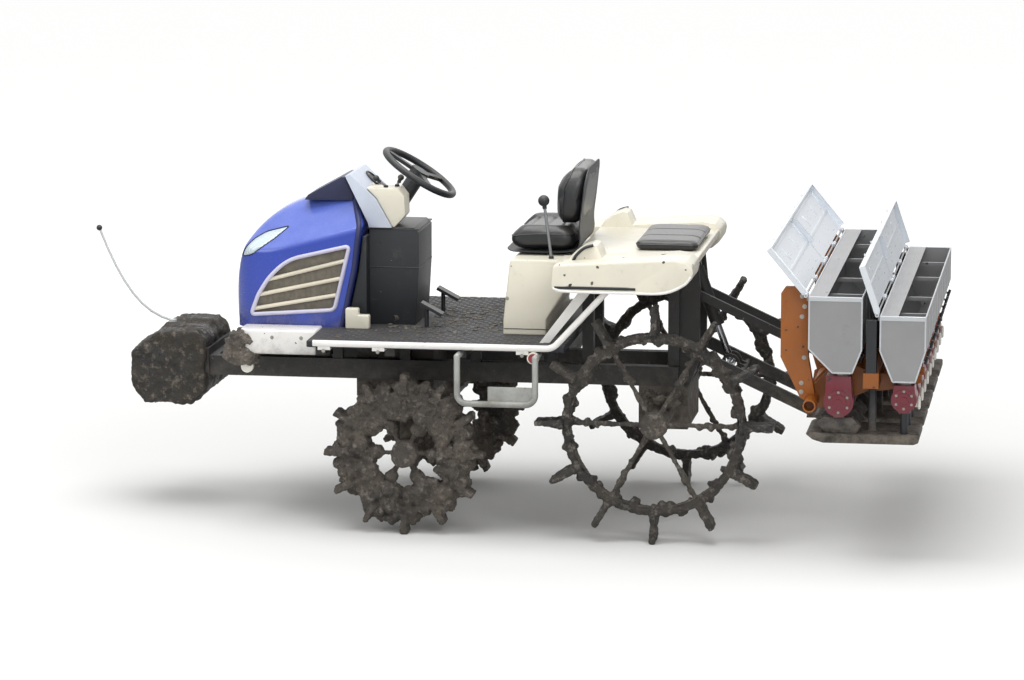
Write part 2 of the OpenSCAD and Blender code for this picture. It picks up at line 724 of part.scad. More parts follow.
hood_pivot = [1760, hood_pivot_z];
hood_pin_r = 6;
hinge_post_x = [1700, 1725];            // posts on the frame that hold the hood's pins
hinge_post_y = [118, 132];
hinge_ear_y = [104, 116];
hood_nose = [[1776, 785], [1815, 1060], [1700, 1215], [1490, 1292]];    // control points of its front curve
hood_back = [[1300, 1300], [1285, 1290], [1240, 1192], [1262, 1012], [1316, 761]];
crease_z = 1187;                        // height of the side crease at the back of the hood
crease_slope = 15;
ridge_h = 192;                          // height of the shoulders' ridge over the crease
nose_steps = 14;
lens_t = 4;
function between(a, b, z) = a[0] + (b[0] - a[0]) * (z - a[1]) / (b[1] - a[1]);
function hood_back_x(z) = z > hood_back[3][1] ? between(hood_back[2], hood_back[3], z) : between(hood_back[3], hood_back[4], z);

// The hood seen from the side, drawn in by an inset
module hood_profile(inset, low) {
    nose = bezier([for (p = hood_nose) p - [inset, 0]], nose_steps);
    side_prism(concat([[nose[0][0], low]], [for (i = [0:nose_steps]) nose[i] - [0, inset * i / nose_steps]],
        [for (i = [0:4]) hood_back[i] + (i == 0 ? [0, -inset] : [inset, 0])], [[hood_back[4][0] + inset, low]]),
        -hood_half - 10, hood_half + 10);
}

// The hood seen from above
module hood_plan(inset) {
    edge = bezier([[1560, hood_half - inset], [1700, hood_half - inset - 4], [1800 - inset, 190 - inset], [1806 - inset, 0]], 10);
    rear = 1100;
    translate([0, 0, 600]) linear_extrude(900) polygon(concat([[rear, hood_half - inset]], edge,
        [for (i = [len(edge) - 2:-1:0]) [edge[i][0], -edge[i][1]]], [[rear, -hood_half + inset]]));
}

// The hood seen from the front, with sloping shoulders that fall away forward
module hood_shoulders(inset) {
    side = hood_half - inset;
    translate([1240, 0, crease_z - inset]) rotate([0, crease_slope, 0]) translate([-400, 0, 0]) rotate([90, 0, 90])
        linear_extrude(1300) polygon([[-side, -700], [side, -700], [side, 0], [0, ridge_h], [-side, 0]]);
}

module hood_form(inset, low) {
    intersection() {
        hood_profile(inset, low);
        hood_plan(inset);
        hood_shoulders(inset);
    }
}

grille_outline = [[1699, 822], [1668, 906], [1628, 970], [1589, 1011], [1556, 1038], [1515, 1058], [1290, 1112], [1353, 848]];
grille_inner = [[1683, 834], [1655, 902], [1618, 962], [1581, 1001], [1550, 1026], [1511, 1045], [1307, 1094], [1362, 860]];
lamp_outline = [[1745, 1050], [1728, 1100], [1700, 1140], [1655, 1175], [1560, 1182], [1600, 1140], [1650, 1106], [1695, 1068]];

module hood_shell() {
    color("#3f51d6") placed() difference() {
        union() {
            difference() {
                hood_form(0, 761);
                hood_form(hood_t, 740);
            }
            both_sides() block([hood_pivot[0] - 11, hinge_ear_y[0], hood_pivot_z - 11],
                [hood_pivot[0] + 16, hinge_ear_y[1], hood_pivot_z + 11]);
        }
        both_sides() cross_bar(hood_pivot, hinge_ear_y[0] - 1, hinge_ear_y[1] + 1, hood_pin_r + fit_gap);
        side_prism(grille_outline, hood_half - 40, hood_half + 40);
        side_prism(grille_outline, -hood_half - 40, -hood_half + 40);
    }
}

module hood_cowl() {
    color("#1e2440") placed() difference() {
        side_prism([[1500, 1280], [1486, 1300], [1346, 1377], [1334, 1376], [1296, 1298], [1302, 1280]], -118, 118);
        hood_form(0, 761);
    }
}

module grilles() {
    slats = [[1628, 966, 1302, 1052], [1668, 903, 1324, 978], [1690, 845, 1347, 908]];      // front x and z, rear x and z
    slat_half = 8;
    color("#cfc9ba") placed() both_sides() union() {
        difference() {
            side_prism(grille_outline, hood_half - 14, hood_half + 3);
            side_prism(grille_inner, hood_half - 20, hood_half + 10);
        }
        intersection() {
            side_prism(grille_outline, hood_half - 14, hood_half);
            union() for (s = slats) side_prism([[s[0], s[1] - slat_half], [s[0], s[1] + slat_half],
                [s[2], s[3] + slat_half], [s[2], s[3] - slat_half]], hood_half - 12, hood_half - 2);
        }
    }
}

module headlamps() {
    color("#dff1f5") placed() both_sides() difference() {
        intersection() {
            side_prism(lamp_outline, 90, hood_half + 5);
            hood_form(-lens_t, 761);
        }
        hood_form(0, 700);
    }
}

// Seeding unit

toolbar = [-640, 629];
hopper_half = hopper_l / 2;
toolbar_half = hopper_half;
front_hopper_x = -634;
front_floor_z = 760;
rear_floor_z = 730;
beam_x = [-905, -845];
beam_z = [700, 760];
arm_ys = [1, half_rows - 2, half_rows - 1] * row_pitch;     // between the rows
side_post_y = [hopper_half - 150, hopper_half - 114];
end_bracket_y = hopper_half - 50;
arm_plate = 10;
row_ys = [for (i = [0:half_rows - 1]) row_pitch * (i + 0.5)];
front_meter = [-750, 640];
rear_meter = [-1002, 656];
front_meter_r = 58;
rear_meter_r = 50;
front_neck = 44;                        // height of a front meter's flat top over its round case
rear_neck = 6;
front_spout = 64;
rear_spout = 58;
shaft_r = 8;

module seeder_frame() {
    arm = [[-622, 600], [-622, 660], [-716, front_floor_z - seat_gap], [-812, front_floor_z - seat_gap], [-850, 740],
        [-930, rear_floor_z - seat_gap], [-1062, rear_floor_z - seat_gap], [-1062, 700], [-930, 668], [-850, 660], [-690, 596], [-650, 592]];
    color("#b8420f") placed() difference() {
        union() {
            cross_bar(toolbar, -toolbar_half, toolbar_half, toolbar_r);
            block([beam_x[0], -hopper_half + 20, beam_z[0]], [beam_x[1], hopper_half - 20, beam_z[1]]);
            both_sides() {
                for (y = arm_ys) side_prism(arm, y - arm_plate/2, y + arm_plate/2);
                side_prism([[-570, 446], [-626, 446], [-668, 620], [-640, 660], [-600, 640]], lower_y[1] + 5, lower_y[1] + 17);
                side_prism([[-576, 720], [-620, 724], [-668, 640], [-650, 600], [-610, 610]], top_y[1] + 5, top_y[1] + 17);
                cross_bar(lower_end, lower_y[0] - 3, lower_y[1] + 10, link_pin_r);
                cross_bar(top_end, top_y[0] - 3, top_y[1] + 10, top_pin_r);
            }
        }
        cross_bar(toolbar, -toolbar_half - 1, -toolbar_half + 60, toolbar_r - 5);
        cross_bar(toolbar, toolbar_half - 60, toolbar_half + 1, toolbar_r - 5);
        cross_bar(front_meter, -hopper_half, hopper_half, shaft_r + 5);
        cross_bar(rear_meter, -hopper_half, hopper_half, shaft_r + 5);
    }
}

// Upright plates that stand on the toolbar ahead of the front hopper
module side_posts() {
    outline = [[-518, 800], [-518, 1050], [-535, 1075], [-580, 1075], [-627, 1028], [-627, 800], [-652, 660], [-640, 620],
        [-596, 640]];
    color("#b8420f") placed() both_sides() difference() {
        side_prism(outline, side_post_y[0], side_post_y[1]);
        cross_bar(toolbar, -toolbar_half, toolbar_half, toolbar_r + fit_gap);
    }
}

module hopper_brackets() {
    color("#1f1f20") placed() both_sides() for (y = [300, end_bracket_y])
        block([beam_x[0] + 10, y, beam_z[1]], [beam_x[1] - 10, y + 30, front_hopper_z - 90]);
}

// A trough with upright walls over a sloping bottom, a fixed ledge at the front and bars across.
// shape holds the front face, the depth, the rim's height, the slopes' top, the floor's height and its two ends.
hinge_out = 12;
hinge_up = 3;
hinge_pin_r = 4;
lid_gap = 12;
bracket_w = 6;
ledge_d = 70;
function hinge_at(x, rim) = [x + hinge_out, rim + hinge_up];
lid_l = hopper_half - lid_gap/2;
hinge_ys = [40, lid_l / 2, lid_l - 40];

module hopper(x, depth, rim, slope_z, floor_z, floor_x) {
    outer = [[x, rim], [x, slope_z], [floor_x[0], floor_z], [floor_x[1], floor_z], [x - depth, slope_z], [x - depth, rim]];
    inner = [[x - sheet_t, rim + 1], [x - sheet_t, slope_z + 1], [floor_x[0] - 3, floor_z + sheet_t], [floor_x[1] + 3, floor_z + sheet_t],
        [x - depth + sheet_t, slope_z + 1], [x - depth + sheet_t, rim + 1]];
    hinge = hinge_at(x, rim);
    color("#b9bec2") placed() union() {
        difference() {
            side_prism(outer, -hopper_half, hopper_half);
            side_prism(inner, -hopper_half + sheet_t, hopper_half - sheet_t);
        }
        block([x - ledge_d, -hopper_half + 1, rim - sheet_t], [x - 1, hopper_half - 1, rim]);
        both_sides() {
            for (y = [260, 680]) block([x - depth + 1, y, rim - 40], [x - 1, y + 14, rim - 26]);
            for (y = hinge_ys) {
                cross_bar(hinge, y, y + bracket_w, 8);
                block([x - 1, y, rim - 22], [hinge[0] - 2, y + bracket_w, hinge[1]]);
            }
            cross_bar(hinge, hinge_ys[0] - 30, hinge_ys[2] + bracket_w + 30, hinge_pin_r);
        }
    }
}
module hopper_front() { hopper(front_hopper_x, front_hopper_d, front_hopper_z, 852, front_floor_z, [-728, -804]); }
module hopper_rear() { hopper(rear_hopper_x, rear_hopper_d, rear_hopper_z, 850, rear_floor_z, [-960, -1046]); }

// A shallow tray on the hopper's front hinge, drawn closed and then swung open to its rest
module lid(side, x, depth, rim, open) {
    hinge = hinge_at(x, rim);
    far = -hinge_out - depth - run_gap - 3;
    near = -11;
    low = 2;
    t = 3;
    barrel_r = 7.5;
    y0 = lid_gap/2;
    y1 = hopper_half + run_gap + 3;
    color("#e8eaec") placed() translate([hinge[0], 0, hinge[1]]) rotate([0, open, 0]) mirror([0, side > 0 ? 0 : 1, 0]) difference() {
        union() {
            block([far, y0, low], [near, y1, low + t]);
            block([far, y0, low + t - lid_lip], [far + 3, y1, low + t]);
            block([far, y1 - 3, low + t - lid_lip], [near - 1, y1, low + t]);
            block([far + 3 + 2*run_gap + sheet_t, y0, low + t - lid_lip], [-hinge_out - ledge_d - run_gap, y0 + 3, low + t]);
            for (y = hinge_ys) for (s = [-1, 1]) {
                a = s < 0 ? y - 30 : y + bracket_w + 1;
                cross_bar([0, 0], a, a + 29, barrel_r);
                block([near - 1, a, 1], [-3, a + 29, low + t]);
            }
        }
        cross_bar([0, 0], 0, hopper_half + 20, hinge_pin_r + fit_gap);
    }
}
module front_lid_left() { lid(1, front_hopper_x, front_hopper_d, front_hopper_z, front_lid_open); }
module front_lid_right() { lid(-1, front_hopper_x, front_hopper_d, front_hopper_z, front_lid_open); }
module rear_lid_left() { lid(1, rear_hopper_x, rear_hopper_d, rear_hopper_z, rear_lid_open); }
module rear_lid_right() { lid(-1, rear_hopper_x, rear_hopper_d, rear_hopper_z, rear_lid_open); }

// Short necks between the hoppers' floors and the meters' tops
module outlets() {
    front_low = front_meter[1] + front_meter_r + front_neck;
    rear_low = rear_meter[1] + rear_meter_r + rear_neck;
    color("#dcdcd6") placed() both_sides() for (y = row_ys) {
        translate([front_meter[0] - 16, y, front_low]) cylinder(h = front_floor_z - front_low, r = 26);
        translate([rear_meter[0], y, rear_low]) cylinder(h = rear_floor_z - rear_low, r = 26);
    }
}

// One metering unit: a round roller case with a neck above it and a spout below
module meter(at, r, neck, spout) {
    top = at[1] + r + neck;
    side_prism([[at[0] - r + 5, at[1]], [at[0] - r + 10, top], [at[0] + r - 10, top], [at[0] + r - 5, at[1]]], -meter_w/2, meter_w/2);
    cross_bar(at, -meter_w/2, meter_w/2, r);
    side_prism([[at[0] - 22, at[1] - spout], [at[0] - 30, at[1]], [at[0] + 30, at[1]], [at[0] + 22, at[1] - spout]], -30, 30);
}

module meters() {
    color("#a3122c") placed() both_sides() for (y = row_ys) translate([0, y, 0]) {
        union() meter(front_meter, front_meter_r, front_neck, front_spout);
        union() meter(rear_meter, rear_meter_r, rear_neck, rear_spout);
    }
}

module meter_shafts() {
    color("#8d9092") placed() for (at = [front_meter, rear_meter]) {
        cross_bar(at, -row_ys[0] + meter_w/2, row_ys[0] - meter_w/2, shaft_r);
        both_sides() for (i = [0:half_rows - 2]) cross_bar(at, row_ys[i] + meter_w/2, row_ys[i + 1] - meter_w/2, shaft_r);
    }
}

float_z = [478, 514];
module openers() {
    top = front_meter[1] - front_spout;
    outline = [[-662, 548], [-690, top], [-800, top], [-838, 540], [-820, float_z[1]], [-700, float_z[1]]];
    color("#202022") placed() both_sides() for (y = row_ys) side_prism(outline, y - 22, y + 22);
}

module drop_hoses() {
    color("#3a3a3c") placed() both_sides() for (y = row_ys)
        translate([rear_meter[0], y, float_z[1]]) cylinder(h = rear_meter[1] - rear_spout - float_z[1], r = 15);
}

float_ys = [-2, -1, 0, 1, 2] * 2 * row_pitch;
module floats() {
    outline = [[-622, 512], [-650, 490], [-690, float_z[0]], [-1040, float_z[0]], [-1060, 486], [-1060, float_z[1]], [-690, float_z[1]], [-640, 522]];
    color("#1c1c1e") placed() for (y = float_ys) union() {
        side_prism(outline, y - 142, y + 142);
        block([-890, y + 30, float_z[1] - 1], [-860, y + 60, beam_z[0]]);
    }
}

frame();
engine();
front_axle();
rear_axle();
hitch_tower();
deck_floor();
side_rails();
boarding_steps();
front_skirts();
foot_blocks();
side_lamps();
front_weights();
guide_rod();
column_cover();
instrument_panel();
lever_console();
hand_levers();
foot_pedals();
seat_pedestal();
seat_cushion();
seat_back();
rear_fenders();
rear_deck();
rear_pad();
hood_shell();
hood_cowl();
grilles();
headlamps();
steering_wheel();
knuckle_left();
knuckle_right();
pitman_arm();
track_rod();
front_tyre_left();
front_tyre_right();
front_rim_left();
front_rim_right();
rear_tyre_left();
rear_tyre_right();
rear_rim_left();
rear_rim_right();
lower_link();
top_link();
lift_cylinder();
lift_rod();
seeder_frame();
side_posts();
hopper_brackets();
hopper_front();
hopper_rear();
outlets();
meters();
meter_shafts();
openers();
drop_hoses();
floats();
front_lid_left();
front_lid_right();
rear_lid_left();
rear_lid_right();
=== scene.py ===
# Dresses the riding rice transplanter: finishes, smooth mouldings, pads, caked mud and small trim.
# Lengths are in metres. machine() takes X from the rear axle, as the part's source does.
import json
import math
import random

import bmesh
import bpy
import numpy as np
from mathutils import Matrix, Vector, noise

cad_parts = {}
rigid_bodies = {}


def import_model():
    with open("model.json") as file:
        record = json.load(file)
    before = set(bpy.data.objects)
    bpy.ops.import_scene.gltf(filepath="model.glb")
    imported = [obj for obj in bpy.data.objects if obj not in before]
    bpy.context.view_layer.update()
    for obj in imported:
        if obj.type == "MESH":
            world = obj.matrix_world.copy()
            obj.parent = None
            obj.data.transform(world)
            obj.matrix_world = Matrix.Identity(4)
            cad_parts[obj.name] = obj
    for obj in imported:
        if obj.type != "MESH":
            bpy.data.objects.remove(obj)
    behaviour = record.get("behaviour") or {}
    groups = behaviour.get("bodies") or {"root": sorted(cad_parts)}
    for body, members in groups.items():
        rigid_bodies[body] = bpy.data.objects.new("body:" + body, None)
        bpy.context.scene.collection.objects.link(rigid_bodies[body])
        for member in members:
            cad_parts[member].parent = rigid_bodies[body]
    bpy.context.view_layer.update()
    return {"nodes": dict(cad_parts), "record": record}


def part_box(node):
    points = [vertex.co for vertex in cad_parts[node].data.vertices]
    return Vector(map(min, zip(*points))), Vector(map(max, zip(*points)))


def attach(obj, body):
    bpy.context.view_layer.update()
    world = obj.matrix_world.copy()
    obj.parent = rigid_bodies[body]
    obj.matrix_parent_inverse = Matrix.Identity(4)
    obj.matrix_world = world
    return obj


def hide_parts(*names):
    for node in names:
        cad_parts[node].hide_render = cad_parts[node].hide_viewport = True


for leftover in list(bpy.data.objects):
    bpy.data.objects.remove(leftover)
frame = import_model()
nodes = frame["nodes"]
body_of_node = {n: body for body, names in frame["record"]["behaviour"]["bodies"].items() for n in names}
slot_of_node = {s["node"]: s["material_slot"] for s in frame["record"]["subparts"]}

SEED = 7
random.seed(SEED)


def middle(node):
    low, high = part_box(node)
    return (low + high) / 2


REAR_AXLE = middle("rear_tyre_left")
FRONT_AXLE = middle("front_tyre_left")
AXLE_X = REAR_AXLE.x


def machine(x, y, z):
    """A point whose X is measured from the rear axle."""
    return Vector((x + AXLE_X, y, z))


# Colours, as they look in daylight

def rgb(code):
    """Linear colour from a hexadecimal one."""
    parts = [int(code[i:i + 2], 16) / 255 for i in (1, 3, 5)]
    return tuple(c / 12.92 if c <= 0.04045 else ((c + 0.055) / 1.055) ** 2.4 for c in parts) + (1.0,)


HOOD_BLUE = "#2b45ac"
NAVY = "#1b2140"
CREAM = "#dfdac9"
PANEL_GREY = "#bcc3d0"
WHITE_PAINT = "#e6e4e0"
BLACK_PLASTIC = "#1a1d22"
VINYL = "#1d1e21"
DECK_BLUE = "#181a23"
FRAME_BLACK = "#201f1e"
CAST_GREY = "#3a3734"
# Partly painted shade: the orange paint is darkened toward its tone in shadow.
ORANGE_WITH_SHADE = "#91500e"
CRIMSON = "#6b1025"
STEEL = "#919192"
# Painted reflection: the lids' steel is made paler than the hopper steel to stand for the sky it reflects.
LID_STEEL_WITH_SKY_SHEEN = "#d8dde3"
MUD_WET = "#322e29"
MUD_DRY = "#756d63"
MUD_PALE = "#9a9289"
DUST = "#a8a294"


# Node helpers

def feed(tree, socket, value):
    """Links a value to a socket, or sets it there."""
    if isinstance(value, bpy.types.NodeSocket):
        tree.links.new(value, socket)
    else:
        socket.default_value = value


def add_node(tree, kind, inputs=None, **settings):
    made = tree.nodes.new(kind)
    for key, value in settings.items():
        setattr(made, key, value)
    for key, value in (inputs or {}).items():
        feed(tree, made.inputs[key], value)
    return made


def noise_of(tree, where, scale, detail=4.0, roughness=0.55):
    inputs = {"Vector": where, "Scale": scale, "Detail": detail, "Roughness": roughness}
    return add_node(tree, "ShaderNodeTexNoise", inputs).outputs[0]


def remap(tree, value, low, high, to_low=0.0, to_high=1.0):
    inputs = {"Value": value, "From Min": low, "From Max": high, "To Min": to_low, "To Max": to_high}
    return add_node(tree, "ShaderNodeMapRange", inputs, clamp=True).outputs[0]


def mix_colour(tree, share, first, second):
    made = add_node(tree, "ShaderNodeMix", {0: share}, data_type="RGBA")
    feed(tree, made.inputs[6], first)
    feed(tree, made.inputs[7], second)
    return made.outputs[2]


def maths(tree, operation, first, second):
    return add_node(tree, "ShaderNodeMath", {0: first, 1: second}, operation=operation).outputs[0]


def height_of(tree, where):
    return add_node(tree, "ShaderNodeSeparateXYZ", {0: where}).outputs[2]


def add_bump(tree, shader, height):
    """Height is in metres."""
    bump = add_node(tree, "ShaderNodeBump", {"Height": height, "Strength": 1.0, "Distance": 1.0})
    tree.links.new(bump.outputs[0], shader.inputs["Normal"])


def new_material(name):
    """A material with its node tree, its shader and the place on the object."""
    material = bpy.data.materials.new(name)
    material.use_nodes = True
    tree = material.node_tree
    where = add_node(tree, "ShaderNodeTexCoord").outputs["Object"]
    return material, tree, tree.nodes["Principled BSDF"], where


def splashes(tree, where, scale, amount):
    """Round spots of dried mud, uneven in size and edge. amount is the share of places that have one."""
    swirl = {"Vector": where, "Scale": scale * 2.5, "Detail": 2.0}
    warp = add_node(tree, "ShaderNodeTexNoise", swirl).outputs[1]
    shift = {0: warp, 1: (0.45 / scale,) * 3, 2: where}
    bent = add_node(tree, "ShaderNodeVectorMath", shift, operation="MULTIPLY_ADD")
    cells = add_node(tree, "ShaderNodeTexVoronoi", {"Vector": bent.outputs[0], "Scale": scale})
    dice = add_node(tree, "ShaderNodeSeparateColor", {0: cells.outputs["Color"]})
    chosen = maths(tree, "LESS_THAN", dice.outputs[0], amount * 0.45)
    radius = remap(tree, maths(tree, "POWER", dice.outputs[1], 2.5), 0.0, 1.0, 0.06, 0.34)
    spot = remap(tree, maths(tree, "SUBTRACT", cells.outputs["Distance"], radius), 0.03, -0.02)
    return maths(tree, "MULTIPLY", spot, chosen)


def shade_of(colour, factor):
    return tuple(min(c * factor, 1.0) for c in colour[:3]) + (1.0,)


def mud_cover(tree, where, lumps, mud, spatter, spatter_top):
    """How much mud lies on a spot: a tide line at the mud heights, and spatter that ends at spatter_top."""
    cover = None
    if mud:
        full, none = mud
        wander = maths(tree, "MULTIPLY", maths(tree, "SUBTRACT", lumps, 0.5), 0.9 * (none - full) + 0.1)
        cover = remap(tree, maths(tree, "ADD", height_of(tree, where), wander), full, none, 1.0, 0.0)
    if spatter:
        large = splashes(tree, where, 15.0, spatter * 0.5)
        spots = maths(tree, "MAXIMUM", large, splashes(tree, where, 46.0, spatter))
        spots = maths(tree, "MAXIMUM", spots, remap(tree, lumps, 0.62 - spatter * 0.3, 0.95, 0.0, 0.5))
        if spatter_top:
            fade = remap(tree, height_of(tree, where), spatter_top - 0.25, spatter_top, 1.0, 0.0)
            spots = maths(tree, "MULTIPLY", spots, fade)
        cover = spots if cover is None else maths(tree, "MAXIMUM", cover, spots)
    return cover


def finish(name, base, rough=0.5, metallic=0.0, coat=0.0, vary=0.12, vary_scale=5.0, grain=300.0,
           grain_depth=0.0004, brushed=False, mud=None, spatter=0.0, spatter_top=None, dust_and_sheen=0.0,
           dust_and_sheen_colour=DUST):
    """A material with patchy colour and grain. mud is (height of full cover, height of none).
    The last two arguments give how much pale film lies on what looks up, and its colour: real dust on most
    finishes, and on the hood, in pale blue, painted sky reflection and top light."""
    material, tree, shader, where = new_material(name)
    colour = rgb(base)
    patches = remap(tree, noise_of(tree, where, vary_scale, 5.0, 0.6), 0.3, 0.7)
    tone = mix_colour(tree, patches, shade_of(colour, 1 - vary), shade_of(colour, 1 + vary))
    # Pale film on what looks up: real dust on most finishes, painted sky reflection and top light on the
    # hood.
    if dust_and_sheen:
        normal = add_node(tree, "ShaderNodeTexCoord").outputs["Normal"]
        upward = remap(tree, height_of(tree, normal), 0.15, 0.85)
        dust_and_sheen_share = remap(tree, noise_of(tree, where, 9.0, 6.0, 0.65), 0.3, 0.7, 0.6 * dust_and_sheen, dust_and_sheen)
        tone = mix_colour(tree, maths(tree, "MULTIPLY", upward, dust_and_sheen_share), tone, rgb(dust_and_sheen_colour))
    grain_at = where
    if brushed:
        stretch = add_node(tree, "ShaderNodeMapping", {"Vector": where, "Scale": (1.0, 0.03, 1.0)})
        grain_at = stretch.outputs[0]
    fine = noise_of(tree, grain_at, grain, 3.0, 0.6)
    roughness = remap(tree, fine, 0.25, 0.75, max(rough - 0.07, 0.03), min(rough + 0.07, 1.0))
    height = maths(tree, "MULTIPLY", fine, grain_depth)
    metal = metallic
    if mud or spatter:
        lumps = noise_of(tree, where, 11.0, 7.0, 0.68)
        cover = mud_cover(tree, where, lumps, mud, spatter, spatter_top)
        dried = remap(tree, noise_of(tree, where, 23.0, 6.0, 0.7), 0.36, 0.68)
        tone = mix_colour(tree, cover, tone, mix_colour(tree, dried, rgb(MUD_WET), rgb(MUD_DRY)))
        roughness = maths(tree, "MAXIMUM", roughness, maths(tree, "MULTIPLY", cover, 0.86))
        if metallic:
            metal = maths(tree, "MULTIPLY", maths(tree, "SUBTRACT", 1.0, cover), metallic)
        crust = noise_of(tree, where, 70.0, 6.0, 0.7)
        rise = maths(tree, "MULTIPLY", maths(tree, "MULTIPLY", cover, crust), 0.006)
        height = maths(tree, "ADD", height, rise)
    feed(tree, shader.inputs["Base Color"], tone)
    feed(tree, shader.inputs["Roughness"], roughness)
    feed(tree, shader.inputs["Metallic"], metal)
    feed(tree, shader.inputs["Coat Weight"], coat)
    feed(tree, shader.inputs["Coat Roughness"], 0.08)
    add_bump(tree, shader, height)
    return material


def mud_finish(name, wet, dry, pale, wet_share=0.5):
    """Caked mud: dark where it is wet, pale where it has dried on the high spots."""
    material, tree, shader, where = new_material(name)
    patches = noise_of(tree, where, 7.0, 8.0, 0.68)
    streaks = noise_of(tree, where, 38.0, 6.0, 0.72)
    crumbs = noise_of(tree, where, 160.0, 4.0, 0.7)
    base = mix_colour(tree, remap(tree, patches, wet_share - 0.12, wet_share + 0.14), rgb(wet), rgb(dry))
    base = mix_colour(tree, remap(tree, streaks, 0.53, 0.68, 0.0, 0.8), base, rgb(pale))
    hollows = remap(tree, noise_of(tree, where, 95.0, 5.0, 0.7), 0.34, 0.5, 0.55, 0.0)
    base = mix_colour(tree, hollows, base, shade_of(rgb(wet), 0.6))
    tree.links.new(base, shader.inputs["Base Color"])
    roughness = remap(tree, patches, wet_share - 0.12, wet_share + 0.1, 0.42, 0.92)
    tree.links.new(roughness, shader.inputs["Roughness"])
    pits = add_node(tree, "ShaderNodeTexVoronoi", {"Vector": where, "Scale": 90.0}).outputs["Distance"]
    ridges = maths(tree, "MULTIPLY", streaks, 0.010)
    height = maths(tree, "ADD", ridges, maths(tree, "MULTIPLY", crumbs, 0.0045))
    add_bump(tree, shader, maths(tree, "ADD", height, maths(tree, "MULTIPLY", pits, 0.0022)))
    return material


def lens_finish(name, base):
    """Clear moulded lens with vertical flutes. The white stripes mixed in along the flutes are painted
    highlights.
    """
    material, tree, shader, where = new_material(name)
    ripple = {"Vector": where, "Scale": 40.0, "Distortion": 0.4}
    flutes = add_node(tree, "ShaderNodeTexWave", ripple, bands_direction="Y").outputs[1]
    # Painted highlights: white mixed in along the flute crests.
    tone = mix_colour(tree, remap(tree, flutes, 0.0, 1.0, 0.0, 0.6), rgb(base), rgb("#ffffff"))
    tree.links.new(tone, shader.inputs["Base Color"])
    shader.inputs["Roughness"].default_value = 0.12
    shader.inputs["Coat Weight"].default_value = 0.8
    shader.inputs["Transmission Weight"].default_value = 0.25
    add_bump(tree, shader, maths(tree, "MULTIPLY", flutes, 0.0012))
    return material


